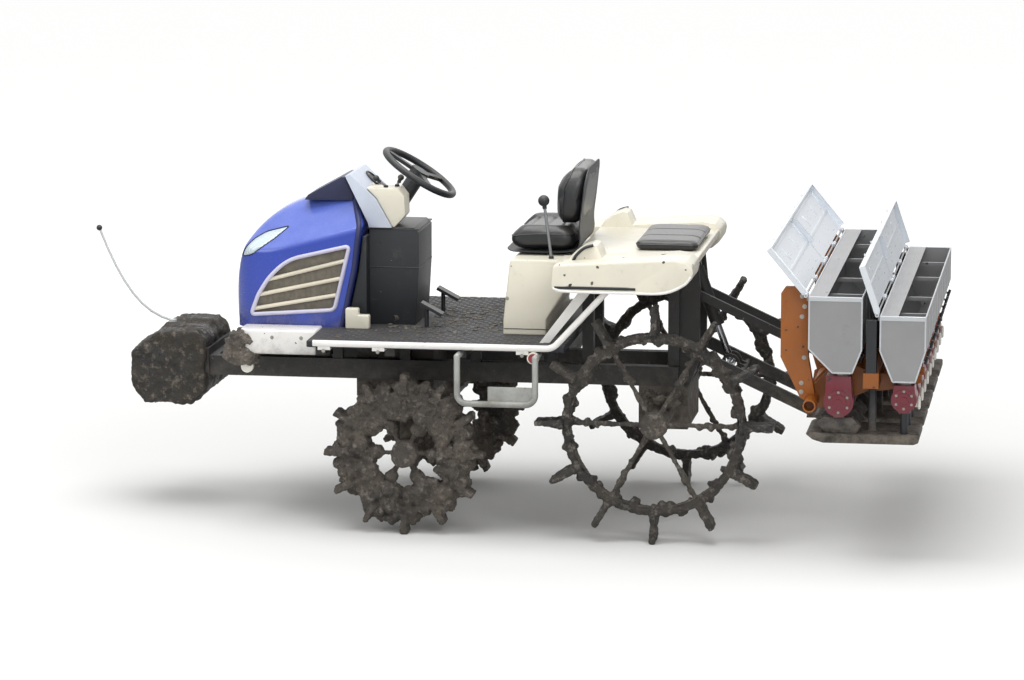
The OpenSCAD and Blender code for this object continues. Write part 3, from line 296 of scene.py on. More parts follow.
LOOK = {
    "frame_paint": finish("frame_paint", FRAME_BLACK, 0.55, vary=0.2, mud=(0.34, 0.66), spatter=0.3),
    "cast_case": finish("cast_case", CAST_GREY, 0.7, 0.2, vary=0.2, mud=(0.42, 0.74), spatter=0.4),
    "engine": finish("engine", "#2f2f32", 0.6, 0.3, vary=0.2, mud=(0.5, 0.8), spatter=0.3),
    "deck_mat": finish("deck_mat", DECK_BLUE, 0.62, vary=0.16, spatter=0.25, dust_and_sheen=0.10),
    "white_tube": finish("white_tube", WHITE_PAINT, 0.3, coat=0.3, vary=0.05, spatter=0.25,
                         spatter_top=0.95),
    "step_tube": finish("step_tube", "#a9aba7", 0.42, 0.3, vary=0.15, mud=(0.44, 0.66), spatter=0.45),
    "cream_panel": finish("cream_panel", CREAM, 0.36, coat=0.15, vary=0.05, spatter=0.12, dust_and_sheen=0.22),
    "skirt_panel": finish("skirt_panel", WHITE_PAINT, 0.3, coat=0.2, vary=0.05, mud=(0.56, 0.74),
                          spatter=0.2),
    "lamp_lens": lens_finish("lamp_lens", "#cfe6ee"),
    # The hood's pale blue film on what looks up is painted sky reflection and top light, not dust.
    "hood_blue": finish("hood_blue", HOOD_BLUE, 0.24, coat=0.6, vary=0.06, grain_depth=0.0001,
                        mud=(0.66, 0.86), dust_and_sheen=0.34, dust_and_sheen_colour="#9fb2f4"),
    "cowl_dark": finish("cowl_dark", NAVY, 0.4, vary=0.1),
    "black_plastic": finish("black_plastic", BLACK_PLASTIC, 0.45, vary=0.15, spatter=0.12, dust_and_sheen=0.1),
    "panel_grey": finish("panel_grey", PANEL_GREY, 0.4, vary=0.08),
    "vinyl": finish("vinyl", VINYL, 0.36, vary=0.14, grain=420.0, grain_depth=0.0006, coat=0.15,
                    spatter=0.05, dust_and_sheen=0.08),
    "rim_steel": mud_finish("rim_steel", "#24211e", "#5b554d", "#8a837a", 0.49),
    "tyre": mud_finish("tyre", "#1e1c1a", "#4a453f", "#857e75", 0.52),
    "front_tyre": mud_finish("front_tyre", "#272421", "#5c554d", "#8d857b", 0.47),
    "weight_iron": mud_finish("weight_iron", "#1b1916", "#403a31", "#7c7265", 0.55),
    "bright_rod": finish("bright_rod", "#c3c6ca", 0.18, 1.0, vary=0.05, grain_depth=0.0001),
    # This orange is partly painted shade, darker than the paint in light.
    "orange_paint": finish("orange_paint", ORANGE_WITH_SHADE, 0.42, coat=0.1, vary=0.14, mud=(0.44, 0.62),
                           spatter=0.3),
    "hopper_steel": finish("hopper_steel", STEEL, 0.42, 0.6, vary=0.06, grain=260.0, grain_depth=0.00006,
                           brushed=True, spatter=0.04),
    # The lids are the hopper's steel made pale: a painted sky reflection on top of the metal's own sheen.
    "lid_steel": finish("lid_steel", LID_STEEL_WITH_SKY_SHEEN, 0.32, 0.4, vary=0.03, grain=260.0, grain_depth=0.00005,
                        brushed=True),
    "hem_steel": finish("hem_steel", "#bfc2c5", 0.36, 0.5, vary=0.05, grain=260.0, grain_depth=0.00005,
                        brushed=True),
    "meter_red": finish("meter_red", CRIMSON, 0.3, coat=0.3, vary=0.16, mud=(0.44, 0.6), spatter=0.24),
    "outlet_white": finish("outlet_white", "#dad8d0", 0.4, vary=0.1, spatter=0.2),
    "shaft_steel": finish("shaft_steel", "#8d8f92", 0.35, 0.9, vary=0.1, mud=(0.4, 0.6), spatter=0.25),
    "grille_rim": finish("grille_rim", "#c6c4d8", 0.32, coat=0.2, vary=0.05),
    "slat_cream": finish("slat_cream", "#d8d0bd", 0.38, vary=0.07),
    "grille_dark": finish("grille_dark", "#746e63", 0.7, vary=0.25, vary_scale=30.0),
    "guide_white": finish("guide_white", "#bcbebd", 0.4, vary=0.1),
    "float_plastic": finish("float_plastic", BLACK_PLASTIC, 0.5, vary=0.15, mud=(0.49, 0.62),
                            spatter=0.35, dust_and_sheen=0.3),
    "hood_seal": finish("hood_seal", "#1d2450", 0.5, vary=0.1),
    "reflector": finish("reflector", "#8c0f1c", 0.2, coat=0.8, vary=0.08),
    "bolt_zinc": finish("bolt_zinc", "#9c9a92", 0.38, 0.85, vary=0.15, spatter=0.15),
    "mud_clods": mud_finish("mud_clods", MUD_WET, MUD_DRY, MUD_PALE, 0.5),
    "ivory": finish("ivory", "#e7e3d4", 0.35, vary=0.05),
}


# Mesh helpers

def object_from(name, mesh):
    made = bpy.data.objects.new(name, mesh)
    bpy.context.scene.collection.objects.link(made)
    return made


def object_from_bmesh(name, bm, outward=False):
    """An object from a mesh in the making. outward turns its faces outward first."""
    if outward:
        bmesh.ops.recalc_face_normals(bm, faces=bm.faces)
    mesh = bpy.data.meshes.new(name)
    bm.to_mesh(mesh)
    bm.free()
    return object_from(name, mesh)


def shade(obj, angle=35.0):
    obj.data.shade_smooth()
    obj.data.set_sharp_from_angle(angle=math.radians(angle))


def dress(obj, look, body, angle=35.0):
    """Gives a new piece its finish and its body."""
    obj.data.materials.clear()
    obj.data.materials.append(LOOK[look])
    if obj.type == "MESH":
        shade(obj, angle)
    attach(obj, body)
    return obj


def new_piece(name, bm, look, body, angle):
    """A new piece of closed forms, with its faces turned outward."""
    return dress(object_from_bmesh(name, bm, outward=True), look, body, angle)


def stands_for(obj, node, look=None, angle=35.0):
    """The new piece replaces a CAD node and takes over its body; it takes the finish of the node's slot
    unless another is given.
    """
    slot = slot_of_node[node]
    dress(obj, look or slot, body_of_node[node], angle)
    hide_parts(node)
    return obj


def apply_modifiers(obj):
    graph = bpy.context.evaluated_depsgraph_get()
    graph.update()
    mesh = bpy.data.meshes.new_from_object(obj.evaluated_get(graph))
    obj.modifiers.clear()
    obj.data = mesh
    return obj


def modified(obj, kind, **settings):
    """Applies one modifier with its settings."""
    modifier = obj.modifiers.new(kind.lower(), kind)
    for key, value in settings.items():
        setattr(modifier, key, value)
    return apply_modifiers(obj)


def reworked(obj, change):
    """Runs one change on an object's mesh."""
    bm = bmesh.new()
    bm.from_mesh(obj.data)
    change(bm)
    bm.to_mesh(obj.data)
    bm.free()
    return obj


def welded_copy(node, name):
    """An object from a CAD node, with its split vertices joined."""
    bm = bmesh.new()
    bm.from_mesh(nodes[node].data)
    bmesh.ops.remove_doubles(bm, verts=bm.verts, dist=2e-5)
    return object_from_bmesh(name, bm)


def whole_faces(bm):
    """Makes flat faces whole."""
    bmesh.ops.dissolve_limit(bm, angle_limit=math.radians(1.0), verts=bm.verts, edges=bm.edges)


def softened(node, width, segments=3, look=None, angle=35.0, change=whole_faces):
    """A CAD moulding with its hard edges rounded, after a change to its mesh."""
    obj = reworked(welded_copy(node, node + "_soft"), change)
    limit = math.radians(30)
    modified(obj, "BEVEL", width=width, segments=segments, limit_method="ANGLE", angle_limit=limit)
    return stands_for(obj, node, look, angle)


FENDER_SHOULDER_Z = 1.100
FENDER_ROUND = 0.042


def round_shoulders(bm):
    """A broad round along the fenders' outer upper edges."""
    whole_faces(bm)
    outside = max(abs(v.co.y) for v in bm.verts)

    def on_shoulder(vertex):
        return abs(abs(vertex.co.y) - outside) < 1e-4 and vertex.co.z > FENDER_SHOULDER_Z

    broad = [edge for edge in bm.edges if all(map(on_shoulder, edge.verts))]
    bmesh.ops.bevel(bm, geom=broad, offset=FENDER_ROUND, segments=6, affect="EDGES", profile=0.5,
                    clamp_overlap=True)


def unit_ball():
    """The points and triangles of a ball."""
    bm = bmesh.new()
    bmesh.ops.create_icosphere(bm, subdivisions=2, radius=1.0)
    points = [v.co.copy() for v in bm.verts]
    faces = [tuple(v.index for v in face.verts) for face in bm.faces]
    bm.free()
    return points, faces


BALL_POINTS, BALL_FACES = unit_ball()


def lump_mesh(name, spots):
    """Uneven lumps in one mesh. A spot is a place, a radius and how flat the lump lies."""
    points = []
    faces = []
    for at, radius, flat in spots:
        seed = Vector((random.uniform(-9, 9), random.uniform(-9, 9), random.uniform(-9, 9)))
        first = len(points)
        for unit in BALL_POINTS:
            lump = 1.0 + 0.5 * noise.noise(unit * 1.7 + seed) + 0.2 * noise.noise(unit * 5.0 + seed)
            bulge = unit * (radius * lump)
            points.append(at + Vector((bulge.x, bulge.y, bulge.z * flat)))
        faces += [tuple(first + i for i in face) for face in BALL_FACES]
    mesh = bpy.data.meshes.new(name)
    mesh.from_pydata(points, [], faces)
    return mesh


def remeshed(obj, voxel):
    return modified(obj, "REMESH", mode="VOXEL", voxel_size=voxel, use_smooth_shade=True)


def mesh_arrays(mesh):
    """A mesh's points and their normals."""
    count = len(mesh.vertices)
    points = np.empty(count * 3)
    normals = np.empty(count * 3)
    mesh.vertices.foreach_get("co", points)
    mesh.vertices.foreach_get("normal", normals)
    return points.reshape(-1, 3), normals.reshape(-1, 3)


def set_points(mesh, points):
    mesh.vertices.foreach_set("co", points.ravel())
    mesh.update()


def swell(obj, lump, crumb):
    """Pushes a mesh out by broad lumps and fine crumbs."""
    points, normals = mesh_arrays(obj.data)
    for i, at in enumerate(points):
        big = noise.noise(Vector(at) * 13.0)
        small = noise.noise(Vector(at) * 55.0)
        fine = noise.noise(Vector(at) * 130.0)
        points[i] = at + normals[i] * (lump * max(0.0, big + 0.25) + crumb * (small + 0.5 * fine))
    set_points(obj.data, points)
    return points


def caked(node, voxel, lump, crumb, look, keep_inside=None, lumps=()):
    """A CAD node under a coat of mud: lumps are fused to it, then it is remeshed and swollen."""
    obj = welded_copy(node, node + "_caked")
    if lumps:
        coat = lump_mesh(node + "_lumps", lumps)
        reworked(obj, lambda bm: bm.from_mesh(coat))
    remeshed(obj, voxel)
    points = swell(obj, lump, crumb)
    if keep_inside:
        centre, radius = keep_inside
        arms = points[:, [0, 2]] - np.array((centre.x, centre.z))
        reach = np.maximum(np.linalg.norm(arms, axis=1) / radius, 1.0)
        points[:, [0, 2]] = arms / reach[:, None] + np.array((centre.x, centre.z))
    set_points(obj.data, points)
    return stands_for(obj, node, look, 80.0)


def turns(count):
    """Angles evenly spread round a circle."""
    return [2 * math.pi * k / count for k in range(count)]


def tube(bm, path, radius, sides=10, closed=False):
    """Sweeps a round section along a list of points."""
    rings = []
    count = len(path)
    for i, at in enumerate(path):
        before = path[i - 1] if (i > 0 or closed) else path[i]
        after = path[(i + 1) % count] if (i < count - 1 or closed) else path[i]
        along = (after - before).normalized()
        side = along.orthogonal() if not rings else None
        if side is None:
            side = last_side - along * last_side.dot(along)
        side = side.normalized()
        last_side = side
        up = along.cross(side)
        ring = [at + radius * (math.cos(a) * side + math.sin(a) * up) for a in turns(sides)]
        rings.append([bm.verts.new(spot) for spot in ring])
    pairs = list(zip(rings, rings[1:])) + ([(rings[-1], rings[0])] if closed else [])
    for first, second in pairs:
        for k in range(sides):
            bm.faces.new((first[k], first[(k + 1) % sides], second[(k + 1) % sides], second[k]))
    if not closed:
        bm.faces.new(list(reversed(rings[0])))
        bm.faces.new(rings[-1])


def frame_along(normal):
    """A rotation whose Z is the normal."""
    return Vector((0, 0, 1)).rotation_difference(Vector(normal).normalized()).to_matrix().to_4x4()


def add_bolt(bm, at, normal, radius):
    """A washer and a hexagon head."""
    height = radius * 0.8
    place = Matrix.Translation(Vector(at)) @ frame_along(normal)
    washer = (20, radius * 1.5, -0.001, height * 0.25, 1.0)
    head = (6, radius, height * 0.25, height, 1.0)
    crown = (6, radius * 0.86, height, height * 1.12, 0.8)
    for sides, r, low, high, taper in (washer, head, crown):
        centred = place @ Matrix.Translation((0, 0, (low + high) / 2))
        bmesh.ops.create_cone(bm, cap_ends=True, segments=sides, radius1=r, radius2=r * taper,
                              depth=high - low, matrix=centred)


def bolts(name, spots, radius, body):
    bm = bmesh.new()
    for at, normal in spots:
        add_bolt(bm, at, normal, radius)
    return dress(object_from_bmesh(name, bm), "bolt_zinc", body, 30.0)


def add_block(bm, low, high, edge=0.0):
    low, high = Vector(low), Vector(high)
    size = high - low
    place = Matrix.Translation((low + high) / 2) @ Matrix.Diagonal((size.x, size.y, size.z, 1))
    made = bmesh.ops.create_cube(bm, size=1.0, matrix=place)
    if edge:
        edges = list({e for v in made["verts"] for e in v.link_edges})
        bmesh.ops.bevel(bm, geom=edges, offset=edge, segments=2, affect="EDGES", profile=0.5)


def curve_points(points, steps):
    """A smooth line through a few points."""
    out = []
    count = len(points)
    for i in range(count - 1):
        p0, p1 = points[max(i - 1, 0)], points[i]
        p2, p3 = points[i + 1], points[min(i + 2, count - 1)]
        for k in range(steps):
            t = k / steps
            out.append(0.5 * (2 * p1 + (p2 - p0) * t + (2 * p0 - 5 * p1 + 4 * p2 - p3) * t * t
                              + (3 * p1 - p0 - 3 * p2 + p3) * t ** 3))
    return out + [points[-1]]


# Hood: a smooth shell found along rays from inside, where profile, plan and shoulders meet softly

HOOD_HALF = 0.250
HOOD_LOW = 0.761
HOOD_NOSE = [(1.776, 0.785), (1.815, 1.060), (1.700, 1.215), (1.490, 1.292)]
HOOD_BACK = [(1.300, 1.300), (1.285, 1.290), (1.240, 1.192), (1.262, 1.012), (1.316, 0.761)]
HOOD_PLAN = [(1.560, 0.250), (1.700, 0.246), (1.800, 0.190), (1.806, 0.0)]
CREASE = (1.240, 1.187)
CREASE_SLOPE = math.radians(15)
RIDGE = 0.192
HOOD_MIDDLE = (1.50, 0.0, 0.98)
HOOD_SOFTNESS = 0.016
HOOD_CREASE = 0.010
HOOD_WALL = 0.0035
HOOD_PIVOT = (1.760, 0.800)
HINGE_EAR_Y = (0.104, 0.116)
HINGE_BORE = 0.0066
GRILLE = [(1.699, .822), (1.668, .906), (1.628, .970), (1.589, 1.011), (1.556, 1.038), (1.515, 1.058),
          (1.290, 1.112), (1.353, .848)]
SLATS = [((1.628, .966), (1.302, 1.052)), ((1.668, .903), (1.324, .978)), ((1.690, .845), (1.347, .908))]
LAMP = [(1.752, 1.050), (1.730, 1.090), (1.698, 1.124), (1.650, 1.152), (1.552, 1.178), (1.605, 1.132),
        (1.655, 1.097), (1.703, 1.062)]
GRILLE_BACK = 0.021
GRILLE_FACE = 0.017
BAR_STEP = 0.022
BAR_HALF = 0.0015


def bezier(p, steps):
    p = [np.array(q) for q in p]
    out = []
    for i in range(steps + 1):
        t = i / steps
        s = 1 - t
        out.append(s ** 3 * p[0] + 3 * s ** 2 * t * p[1] + 3 * s * t * t * p[2] + t ** 3 * p[3])
    return out


def polygon_distance(u, v, polygon):
    """Signed distance to a polygon, below zero inside it."""
    best = np.full(u.shape, 1e9)
    inside = np.zeros(u.shape, bool)
    for (ax, ay), (bx, by) in zip(polygon, polygon[1:] + polygon[:1]):
        ex, ey = bx - ax, by - ay
        t = np.clip(((u - ax) * ex + (v - ay) * ey) / (ex * ex + ey * ey), 0, 1)
        best = np.minimum(best, (u - ax - t * ex) ** 2 + (v - ay - t * ey) ** 2)
        crosses = (ay > v) != (by > v)
        inside ^= crosses & (u < ex * (v - ay) / (ey if ey else 1e-12) + ax)
    return np.where(inside, -1, 1) * np.sqrt(best)


def soft_max(first, second, softness):
    share = np.clip(0.5 + 0.5 * (first - second) / softness, 0, 1)
    return second + (first - second) * share + softness * share * (1 - share)


PROFILE = [(HOOD_NOSE[0][0], 0.60)] + [tuple(p) for p in bezier(HOOD_NOSE, 28)] + HOOD_BACK + [(1.350, 0.60)]
PLAN_EDGE = [tuple(p) for p in bezier(HOOD_PLAN, 20)]
PLAN_MIRRORED = [(x, -y) for x, y in reversed(PLAN_EDGE[:-1])]
PLAN = [(1.10, HOOD_HALF)] + PLAN_EDGE + PLAN_MIRRORED + [(1.10, -HOOD_HALF)]


def hood_field(points):
    """Below zero inside the hood."""
    x, y, z = points[:, 0], points[:, 1], points[:, 2]
    profile = polygon_distance(x, z, PROFILE)
    plan = polygon_distance(x, y, PLAN)
    along = (x - CREASE[0]) * math.sin(CREASE_SLOPE) + (z - CREASE[1]) * math.cos(CREASE_SLOPE)
    slant = math.hypot(RIDGE, HOOD_HALF)
    shoulder = (along * HOOD_HALF + np.abs(y) * RIDGE - HOOD_HALF * RIDGE) / slant
    ridge = along - RIDGE + 0.022
    shoulder = soft_max(shoulder, ridge, 0.05)
    body = soft_max(plan, shoulder, HOOD_CREASE)
    return soft_max(profile, body, HOOD_SOFTNESS)


def on_hood(directions, origin, lift=0.0, reach=1.0):
    """Where rays from a point inside the hood leave it."""
    low = np.zeros(len(directions))
    high = np.full(len(directions), reach)
    for _ in range(34):
        half = (low + high) / 2
        inside = hood_field(origin + directions * half[:, None]) < lift
        low = np.where(inside, half, low)
        high = np.where(inside, high, half)
    return origin + directions * low[:, None]


def hood_shell():
    """The skin, cut flat below, with the grille openings and its hinge lugs."""
    detail = 76
    bm = bmesh.new()
    bmesh.ops.create_cube(bm, size=2.0)
    bmesh.ops.subdivide_edges(bm, edges=bm.edges, cuts=detail, use_grid_fill=True)
    rays = np.array([v.co[:] for v in bm.verts])
    rays = np.tan(rays * 0.72) / math.tan(0.72)
    rays[:, 0] *= 1.15
    rays[:, 2] *= 1.35
    rays /= np.linalg.norm(rays, axis=1)[:, None]
    for vertex, at in zip(bm.verts, on_hood(rays, np.array(HOOD_MIDDLE))):
        vertex.co = machine(*at)
    bmesh.ops.bisect_plane(bm, geom=bm.verts[:] + bm.edges[:] + bm.faces[:], dist=1e-6,
                           plane_co=machine(0, 0, HOOD_LOW), plane_no=(0, 0, -1), clear_outer=True)
    obj = object_from_bmesh("hood_skin", bm)
    modified(obj, "SOLIDIFY", thickness=HOOD_WALL, offset=-1.0)
    for side in (1, -1):
        cut_away(obj, prism("grille_cutter", GRILLE, side * 0.20, side * 0.30))
    for side in (1, -1):
        ear = hinge_ear(side)
        reworked(obj, lambda bm: bm.from_mesh(ear.data))
        bpy.data.objects.remove(ear)
    return stands_for(obj, "hood_shell", "hood_blue", 40.0)


def cut_away(obj, cutter):
    modified(obj, "BOOLEAN", operation="DIFFERENCE", solver="EXACT", object=cutter)
    bpy.data.objects.remove(cutter)


def hinge_ear(side):
    """A lug inside the hood's foot, bored for its hinge pin."""
    bm = bmesh.new()
    x, z = HOOD_PIVOT
    low, high = sorted((side * HINGE_EAR_Y[0], side * HINGE_EAR_Y[1]))
    add_block(bm, machine(x - 0.011, low, z - 0.011), machine(x + 0.016, high, z + 0.011), 0.002)
    ear = object_from_bmesh("ear", bm)
    bore = bmesh.new()
    tube(bore, [machine(x, low - 0.002, z), machine(x, high + 0.002, z)], HINGE_BORE, 24)
    cut_away(ear, object_from_bmesh("bore", bore, outward=True))
    return ear


def prism(name, outline, y0, y1):
    """A closed prism whose outline is drawn in X and Z."""
    bm = bmesh.new()
    low = [bm.verts.new(machine(x, min(y0, y1), z)) for x, z in outline]
    high = [bm.verts.new(machine(x, max(y0, y1), z)) for x, z in outline]
    bm.faces.new(low)
    bm.faces.new(list(reversed(high)))
    for i in range(len(outline)):
        j = (i + 1) % len(outline)
        bm.faces.new((low[j], low[i], high[i], high[j]))
    return object_from_bmesh(name, bm, outward=True)


def rounded_outline(points, radius, steps=5):
    """The outline with each corner replaced by a short curve."""
    out = []
    count = len(points)
    for i in range(count):
        before, at, after = (Vector(points[(i + k) % count]) for k in (-1, 0, 1))
        cut = min(radius, (before - at).length * 0.45, (after - at).length * 0.45)
        a = at + (before - at).normalized() * cut
        b = at + (after - at).normalized() * cut
        for k in range(steps + 1):
            t = k / steps
            out.append(tuple((1 - t) ** 2 * a + 2 * t * (1 - t) * at + t * t * b))
    return out


def grilles():
    rim = bmesh.new()
    slats = bmesh.new()
    outline = rounded_outline(GRILLE, 0.02)
    for side in (1, -1):
        y = side * (HOOD_HALF + 0.0005)
        tube(rim, [machine(x, y, z) for x, z in outline], 0.0085, 10, closed=True)
        y = side * (HOOD_HALF - 0.006)
        for (x0, z0), (x1, z1) in SLATS:
            path = [machine(x0 + (x1 - x0) * t, y, z0 + (z1 - z0) * t) for t in (0.0, 0.5, 1.0)]
            tube(slats, path, 0.0085, 10)
    stands_for(object_from_bmesh("grille_rims", rim, outward=True), "grilles", "grille_rim", 60.0)
    new_piece("grille_slats", slats, "slat_cream", "hood", 60.0)
    for side, word in ((1, "left"), (-1, "right")):
        y = side * (HOOD_HALF - GRILLE_FACE)
        back = prism("grille_back_" + word, GRILLE, side * (HOOD_HALF - GRILLE_BACK), y)
        dress(back, "grille_dark", "hood")
        net = bmesh.new()
        for k in range(-9, 12):
            x = 1.50 + k * BAR_STEP
            ends = crossings(GRILLE, x)
            if len(ends) == 2:
                low, high = sorted(ends)
                add_block(net, machine(x - BAR_HALF, y - BAR_HALF, low + 0.004),
                          machine(x + BAR_HALF, y + BAR_HALF, high - 0.004))
        dress(object_from_bmesh("grille_bars_" + word, net), "grille_dark", "hood")


def crossings(outline, x):
    """Heights at which an upright line crosses an outline."""
    found = []
    for (ax, az), (bx, bz) in zip(outline, outline[1:] + outline[:1]):
        if (ax <= x) != (bx <= x):
            found.append(az + (bz - az) * (x - ax) / (bx - ax))
    return found


def hood_seal():
    """A dark rubber strip round the hood's rear edge."""
    back = sorted((z, x) for x, z in HOOD_BACK)
    heights = [z for z, _ in back]
    path = []
    for k in range(61):
        a = math.pi * k / 60
        low, high = 0.0, 0.6
        for _ in range(30):
            r = (low + high) / 2
            y = r * math.cos(a) * 0.75
            z = HOOD_LOW + 0.012 + r * math.sin(a)
            x = np.interp(z, heights, [x for _, x in back]) + 0.010
            inside = hood_field(np.array([(x, y, z)]))[0] < -0.0005
            low, high = (r, high) if inside else (low, r)
        path.append(machine(x, y, z))
    bm = bmesh.new()
    tube(bm, path, 0.0110, 10)
    return new_piece("hood_seal", bm, "hood_seal", "hood", 60.0)


def headlamps():
    """Teardrop lenses that bulge from the shoulders, each in a dark rim."""
    rings = 10
    outline = np.array([(x, 0.0, z) for x, z in rounded_outline(LAMP, 0.016, 4)])
    centre = outline.mean(axis=0)
    count = len(outline)
    for side, word in ((1, "left"), (-1, "right")):
        direction = np.tile(np.array([0.0, float(side), 0.0]), (count, 1))
        bm = bmesh.new()
        grid = []
        for r in range(rings + 1):
            share = r / rings
            flat = centre + (outline - centre) * share
            lift = 0.005 * (1 - share ** 4) - 0.002 * share ** 12
            grid.append([bm.verts.new(machine(*p)) for p in on_hood(direction, flat, lift, 0.5)])
        for inner, outer in zip(grid, grid[1:]):
            for k in range(count):
                j = (k + 1) % count
                if inner is grid[0]:
                    bm.faces.new((inner[0], outer[k], outer[j]))
                else:
                    bm.faces.new((inner[k], outer[k], outer[j], inner[j]))
        bmesh.ops.delete(bm, geom=grid[0][1:], context="VERTS")
        obj = object_from_bmesh("headlamp_lens_" + word, bm, outward=True)
        inward = -1.0 if obj.data.polygons[0].normal.y * side > 0 else 1.0
        modified(obj, "SOLIDIFY", thickness=0.004, offset=inward)
        if side > 0:
            stands_for(obj, "headlamps", "lamp_lens", 50.0)
        else:
            dress(obj, "lamp_lens", "hood", 50.0)
        rim = bmesh.new()
        tube(rim, [machine(*p) for p in on_hood(direction, outline, 0.0, 0.5)], 0.0028, 8, closed=True)
        new_piece("headlamp_rim_" + word, rim, "cowl_dark", "hood", 60.0)


# Pads

def rounded_slab(name, half, plan_radius, edge_radius):
    """A slab round its own middle, with round corners in plan and round upper and lower edges."""
    bm = bmesh.new()
    bmesh.ops.create_cube(bm, size=2.0)
    bmesh.ops.subdivide_edges(bm, edges=bm.edges, cuts=20, use_grid_fill=True)
    for vertex in bm.verts:
        u, v, w = vertex.co
        z = w * half[2]
        rise = max(0.0, abs(z) - (half[2] - edge_radius))
        inset = edge_radius - math.sqrt(max(edge_radius ** 2 - rise ** 2, 0.0))
        reach = Vector((half[0] - inset, half[1] - inset))
        flat = Vector((u * reach.x, v * reach.y))
        core = Vector([max(-r + plan_radius, min(r - plan_radius, f)) for f, r in zip(flat, reach)])
        out = flat - core
        if out.length > 1e-9:
            out = out.normalized() * max(abs(out.x), abs(out.y))
        vertex.co = (core.x + out.x, core.y + out.y, z)
    return object_from_bmesh(name, bm)


def smooth_step(value):
    value = np.clip(value, 0.0, 1.0)
    return value * value * (3 - 2 * value)


def reshaped(obj, rule):
    """Moves every point of a mesh by a rule that works on whole arrays."""
    points, normals = mesh_arrays(obj.data)
    set_points(obj.data, rule(points, normals))
    return obj


def puffed(obj, voxel, pressure, cap):
    """Remeshes a pad, blows it up a little as cloth, and smooths it."""
    remeshed(obj, voxel)
    start = mesh_arrays(obj.data)[0]
    cloth = obj.modifiers.new("cloth", "CLOTH")
    cloth.settings.use_pressure = True
    cloth.settings.uniform_pressure_force = pressure
    cloth.settings.effector_weights.gravity = 0.0
    cloth.point_cache.frame_start = 1
    cloth.point_cache.frame_end = 20
    for step in range(1, 21):
        bpy.context.scene.frame_set(step)
    apply_modifiers(obj)
    bpy.context.scene.frame_set(1)
    points = mesh_arrays(obj.data)[0]
    steps = points - start
    lengths = np.maximum(np.linalg.norm(steps, axis=1) / cap, 1.0)
    set_points(obj.data, start + steps / lengths[:, None])
    return modified(obj, "SUBSURF", levels=1)


def groove(points, normals, distance, depth, share):
    """Sinks points near a line. share says how much of the groove each point takes."""
    sink = depth * np.exp(-(distance / GROOVE_WIDTH) ** 2) * share
    return points - normals * sink[:, None]


GROOVE_WIDTH = 0.0050
SEAM_DEPTH = 0.0060
SEAT_X = (0.362, 0.644)
SEAT_Z = (1.112, 1.194)
SEAT_HALF = 0.236
SEAT_CORNER = 0.055
BACK_HALF = 0.226
BACK_CORNER = 0.085
BOLSTER_Y = 0.150
SEAT_CHANNELS = (0.435, 0.500, 0.565)
BACK_CHANNELS = (1.255, 1.315, 1.375)
BACK_Z = (1.200, 1.448)
BACK_FRONT = ((1.20, 0.447), (1.36, 0.436), (1.448, 0.402))
BACK_REAR = ((1.20, 0.362), (1.43, 0.328), (1.448, 0.334))


def seat_cushion():
    """Crowned at the middle, raised along both sides, rounded off at the front, with sewn channels."""
    half = ((SEAT_X[1] - SEAT_X[0]) / 2, SEAT_HALF, (SEAT_Z[1] - SEAT_Z[0]) / 2)
    inner_half = (half[0] - 0.005, half[1] - 0.005, half[2] - 0.004)
    obj = rounded_slab("seat_cushion_pad", inner_half, SEAT_CORNER, 0.030)
    centre = machine((SEAT_X[0] + SEAT_X[1]) / 2, 0, (SEAT_Z[0] + SEAT_Z[1]) / 2)

    def form(points, normals):
        top = smooth_step((points[:, 2] / half[2] + 0.6) / 1.6)
        side = smooth_step((np.abs(points[:, 1]) - BOLSTER_Y + 0.02) / 0.05)
        front = smooth_step((points[:, 0] - 0.070) / 0.075)
        lift = 0.007 * side - 0.006 * (1 - side) - 0.020 * front
        out = points + np.array(centre)
        out[:, 2] += lift * top
        return out

    def seams(points, normals):
        x = points[:, 0] - AXLE_X
        y = np.abs(points[:, 1])
        top = smooth_step((points[:, 2] - (SEAT_Z[1] - 0.045)) / 0.02) * smooth_step(normals[:, 2] / 0.4)
        inner = smooth_step((BOLSTER_Y - y) / 0.006)
        for at in SEAT_CHANNELS:
            points = groove(points, normals, x - at, SEAM_DEPTH, top * inner)
        return groove(points, normals, y - BOLSTER_Y, SEAM_DEPTH, top)

    reshaped(obj, form)
    puffed(obj, 0.0075, 4.0, 0.010)
    reshaped(obj, seams)
    stands_for(obj, "seat_cushion", "vinyl", 80.0)
    return obj


